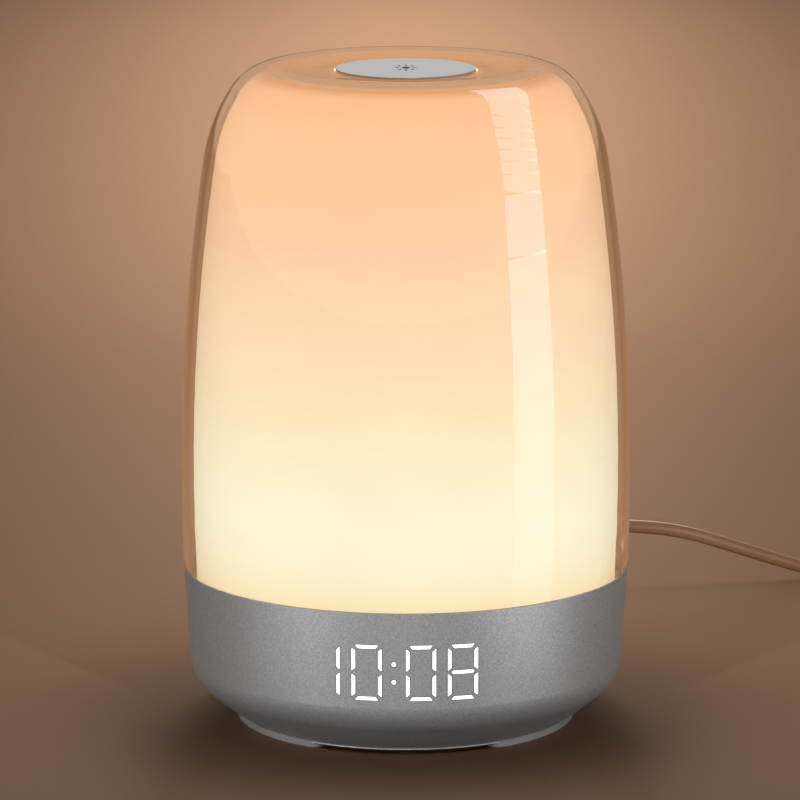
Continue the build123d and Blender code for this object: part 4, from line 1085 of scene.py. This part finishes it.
class CLOCK_OT_display_parts(bpy.types.Operator):
    """Finishes the hidden display's pipe block, light pipes and LEDs, and both ribbons"""

    bl_idname = "sunrise_clock.display_parts"
    bl_label = "Display parts"
    bl_options = {"REGISTER", "UNDO"}

    def execute(self, context):
        dress(moulded("pipe block", (0.015, 0.015, 0.015), rough=0.5), "light_pipe_block")
        pipes = Finish("light pipe", Roughness=0.15, IOR=1.49)
        pipes.shader.inputs["Transmission Weight"].default_value = 0.8
        pipes.feed("Base Color", pipes.ramp(
            pipes.noise(0.002), ((0.3, (0.9, 0.92, 0.92)), (0.7, (0.96, 0.97, 0.97)))))
        dress(pipes.material, "light_pipes")
        led = Finish("led", Roughness=0.3)
        phosphor = led.noise(0.0012, detail=1.0)
        led.feed("Base Color", led.ramp(
            phosphor, ((0.35, (0.86, 0.62, 0.16)), (0.65, (0.9, 0.8, 0.45)))))
        dress(led.material, "display_leds", "leds")
        ribbon = Finish("ribbon", Roughness=0.45)
        lines = ribbon.node("ShaderNodeTexWave", ribbon.place, bands_direction="X")
        lines.inputs["Scale"].default_value = 250.0
        ribbon.feed("Base Color", ribbon.ramp(
            lines.outputs["Fac"], ((0.4, (0.42, 0.42, 0.43)), (0.6, (0.55, 0.55, 0.56)))))
        dress(ribbon.material, "display_ribbon", "rear_ribbon")
        return {"FINISHED"}


class CLOCK_OT_electronics(bpy.types.Operator):
    """Finishes the light deck, boards and what is on them, the cell and the speaker"""

    bl_idname = "sunrise_clock.electronics"
    bl_label = "Electronics and speaker"
    bl_options = {"REGISTER", "UNDO"}

    def execute(self, context):
        dress(moulded("deck plastic", (0.80, 0.78, 0.74), rough=0.5, grain=0.0005), "light_deck")
        dress(board("white board", (0.80, 0.80, 0.78)), "led_board")
        dress(board("green board", (0.02, 0.14, 0.05)), "display_board", "rear_board",
              "main_board")
        dress(moulded("jack plastic", (0.012, 0.012, 0.012), rough=0.4), "dc_jack",
              "cell_holder")
        dress(moulded("chip", (0.012, 0.012, 0.013), rough=0.45, grain=0.0003), "main_chips")
        dress(machined("bright metal", (0.70, 0.70, 0.68), rough=0.22), "jack_pin",
              "switch_cans", "coin_cell", "capacitors")
        dress(moulded("gasket foam", (0.02, 0.02, 0.02), rough=0.85, grain=0.0008,
                      depth=0.0001), "speaker_gasket")
        dress(machined("basket steel", (0.10, 0.10, 0.105), rough=0.4), "speaker_basket")
        dress(machined("magnet", (0.12, 0.12, 0.125), rough=0.5), "speaker_magnet")
        dress(moulded("cone paper", (0.02, 0.02, 0.02), rough=0.7, grain=0.0006,
                      depth=0.00005), "speaker_cone")
        return {"FINISHED"}


STEPS = (
    CLOCK_OT_stage,
    CLOCK_OT_power_lead,
    CLOCK_OT_shell,
    CLOCK_OT_diffuser,
    CLOCK_OT_touch_disc,
    CLOCK_OT_base,
    CLOCK_OT_digits,
    CLOCK_OT_buttons,
    CLOCK_OT_underside,
    CLOCK_OT_display_parts,
    CLOCK_OT_electronics,
)


class CLOCK_PT_panel(bpy.types.Panel):
    """Lists the steps that build the clock's looks"""

    bl_idname = "CLOCK_PT_panel"
    bl_label = "Sunrise clock"
    bl_space_type = "VIEW_3D"
    bl_region_type = "UI"
    bl_category = "Sunrise clock"

    def draw(self, context):
        """One button for each step."""
        for step in STEPS:
            self.layout.operator(step.bl_idname)


CLASSES = (
    StageSettings, LeadSettings, LightSettings, BaseSettings, DisplaySettings, TouchSettings,
    ControlSettings, ClockSettings, *STEPS, CLOCK_PT_panel,
)


def register():
    """Adds the classes and the clock's settings."""
    for kind in CLASSES:
        bpy.utils.register_class(kind)
    bpy.types.Scene.sunrise_clock = bpy.props.PointerProperty(type=ClockSettings)


def unregister():
    """Takes them away again."""
    del bpy.types.Scene.sunrise_clock
    for kind in reversed(CLASSES):
        bpy.utils.unregister_class(kind)


def main():
    """Builds everything in order."""
    register()
    for step in STEPS:
        group, name = step.bl_idname.split(".")
        getattr(getattr(bpy.ops, group), name)()


if __name__ == "__main__":
    main()
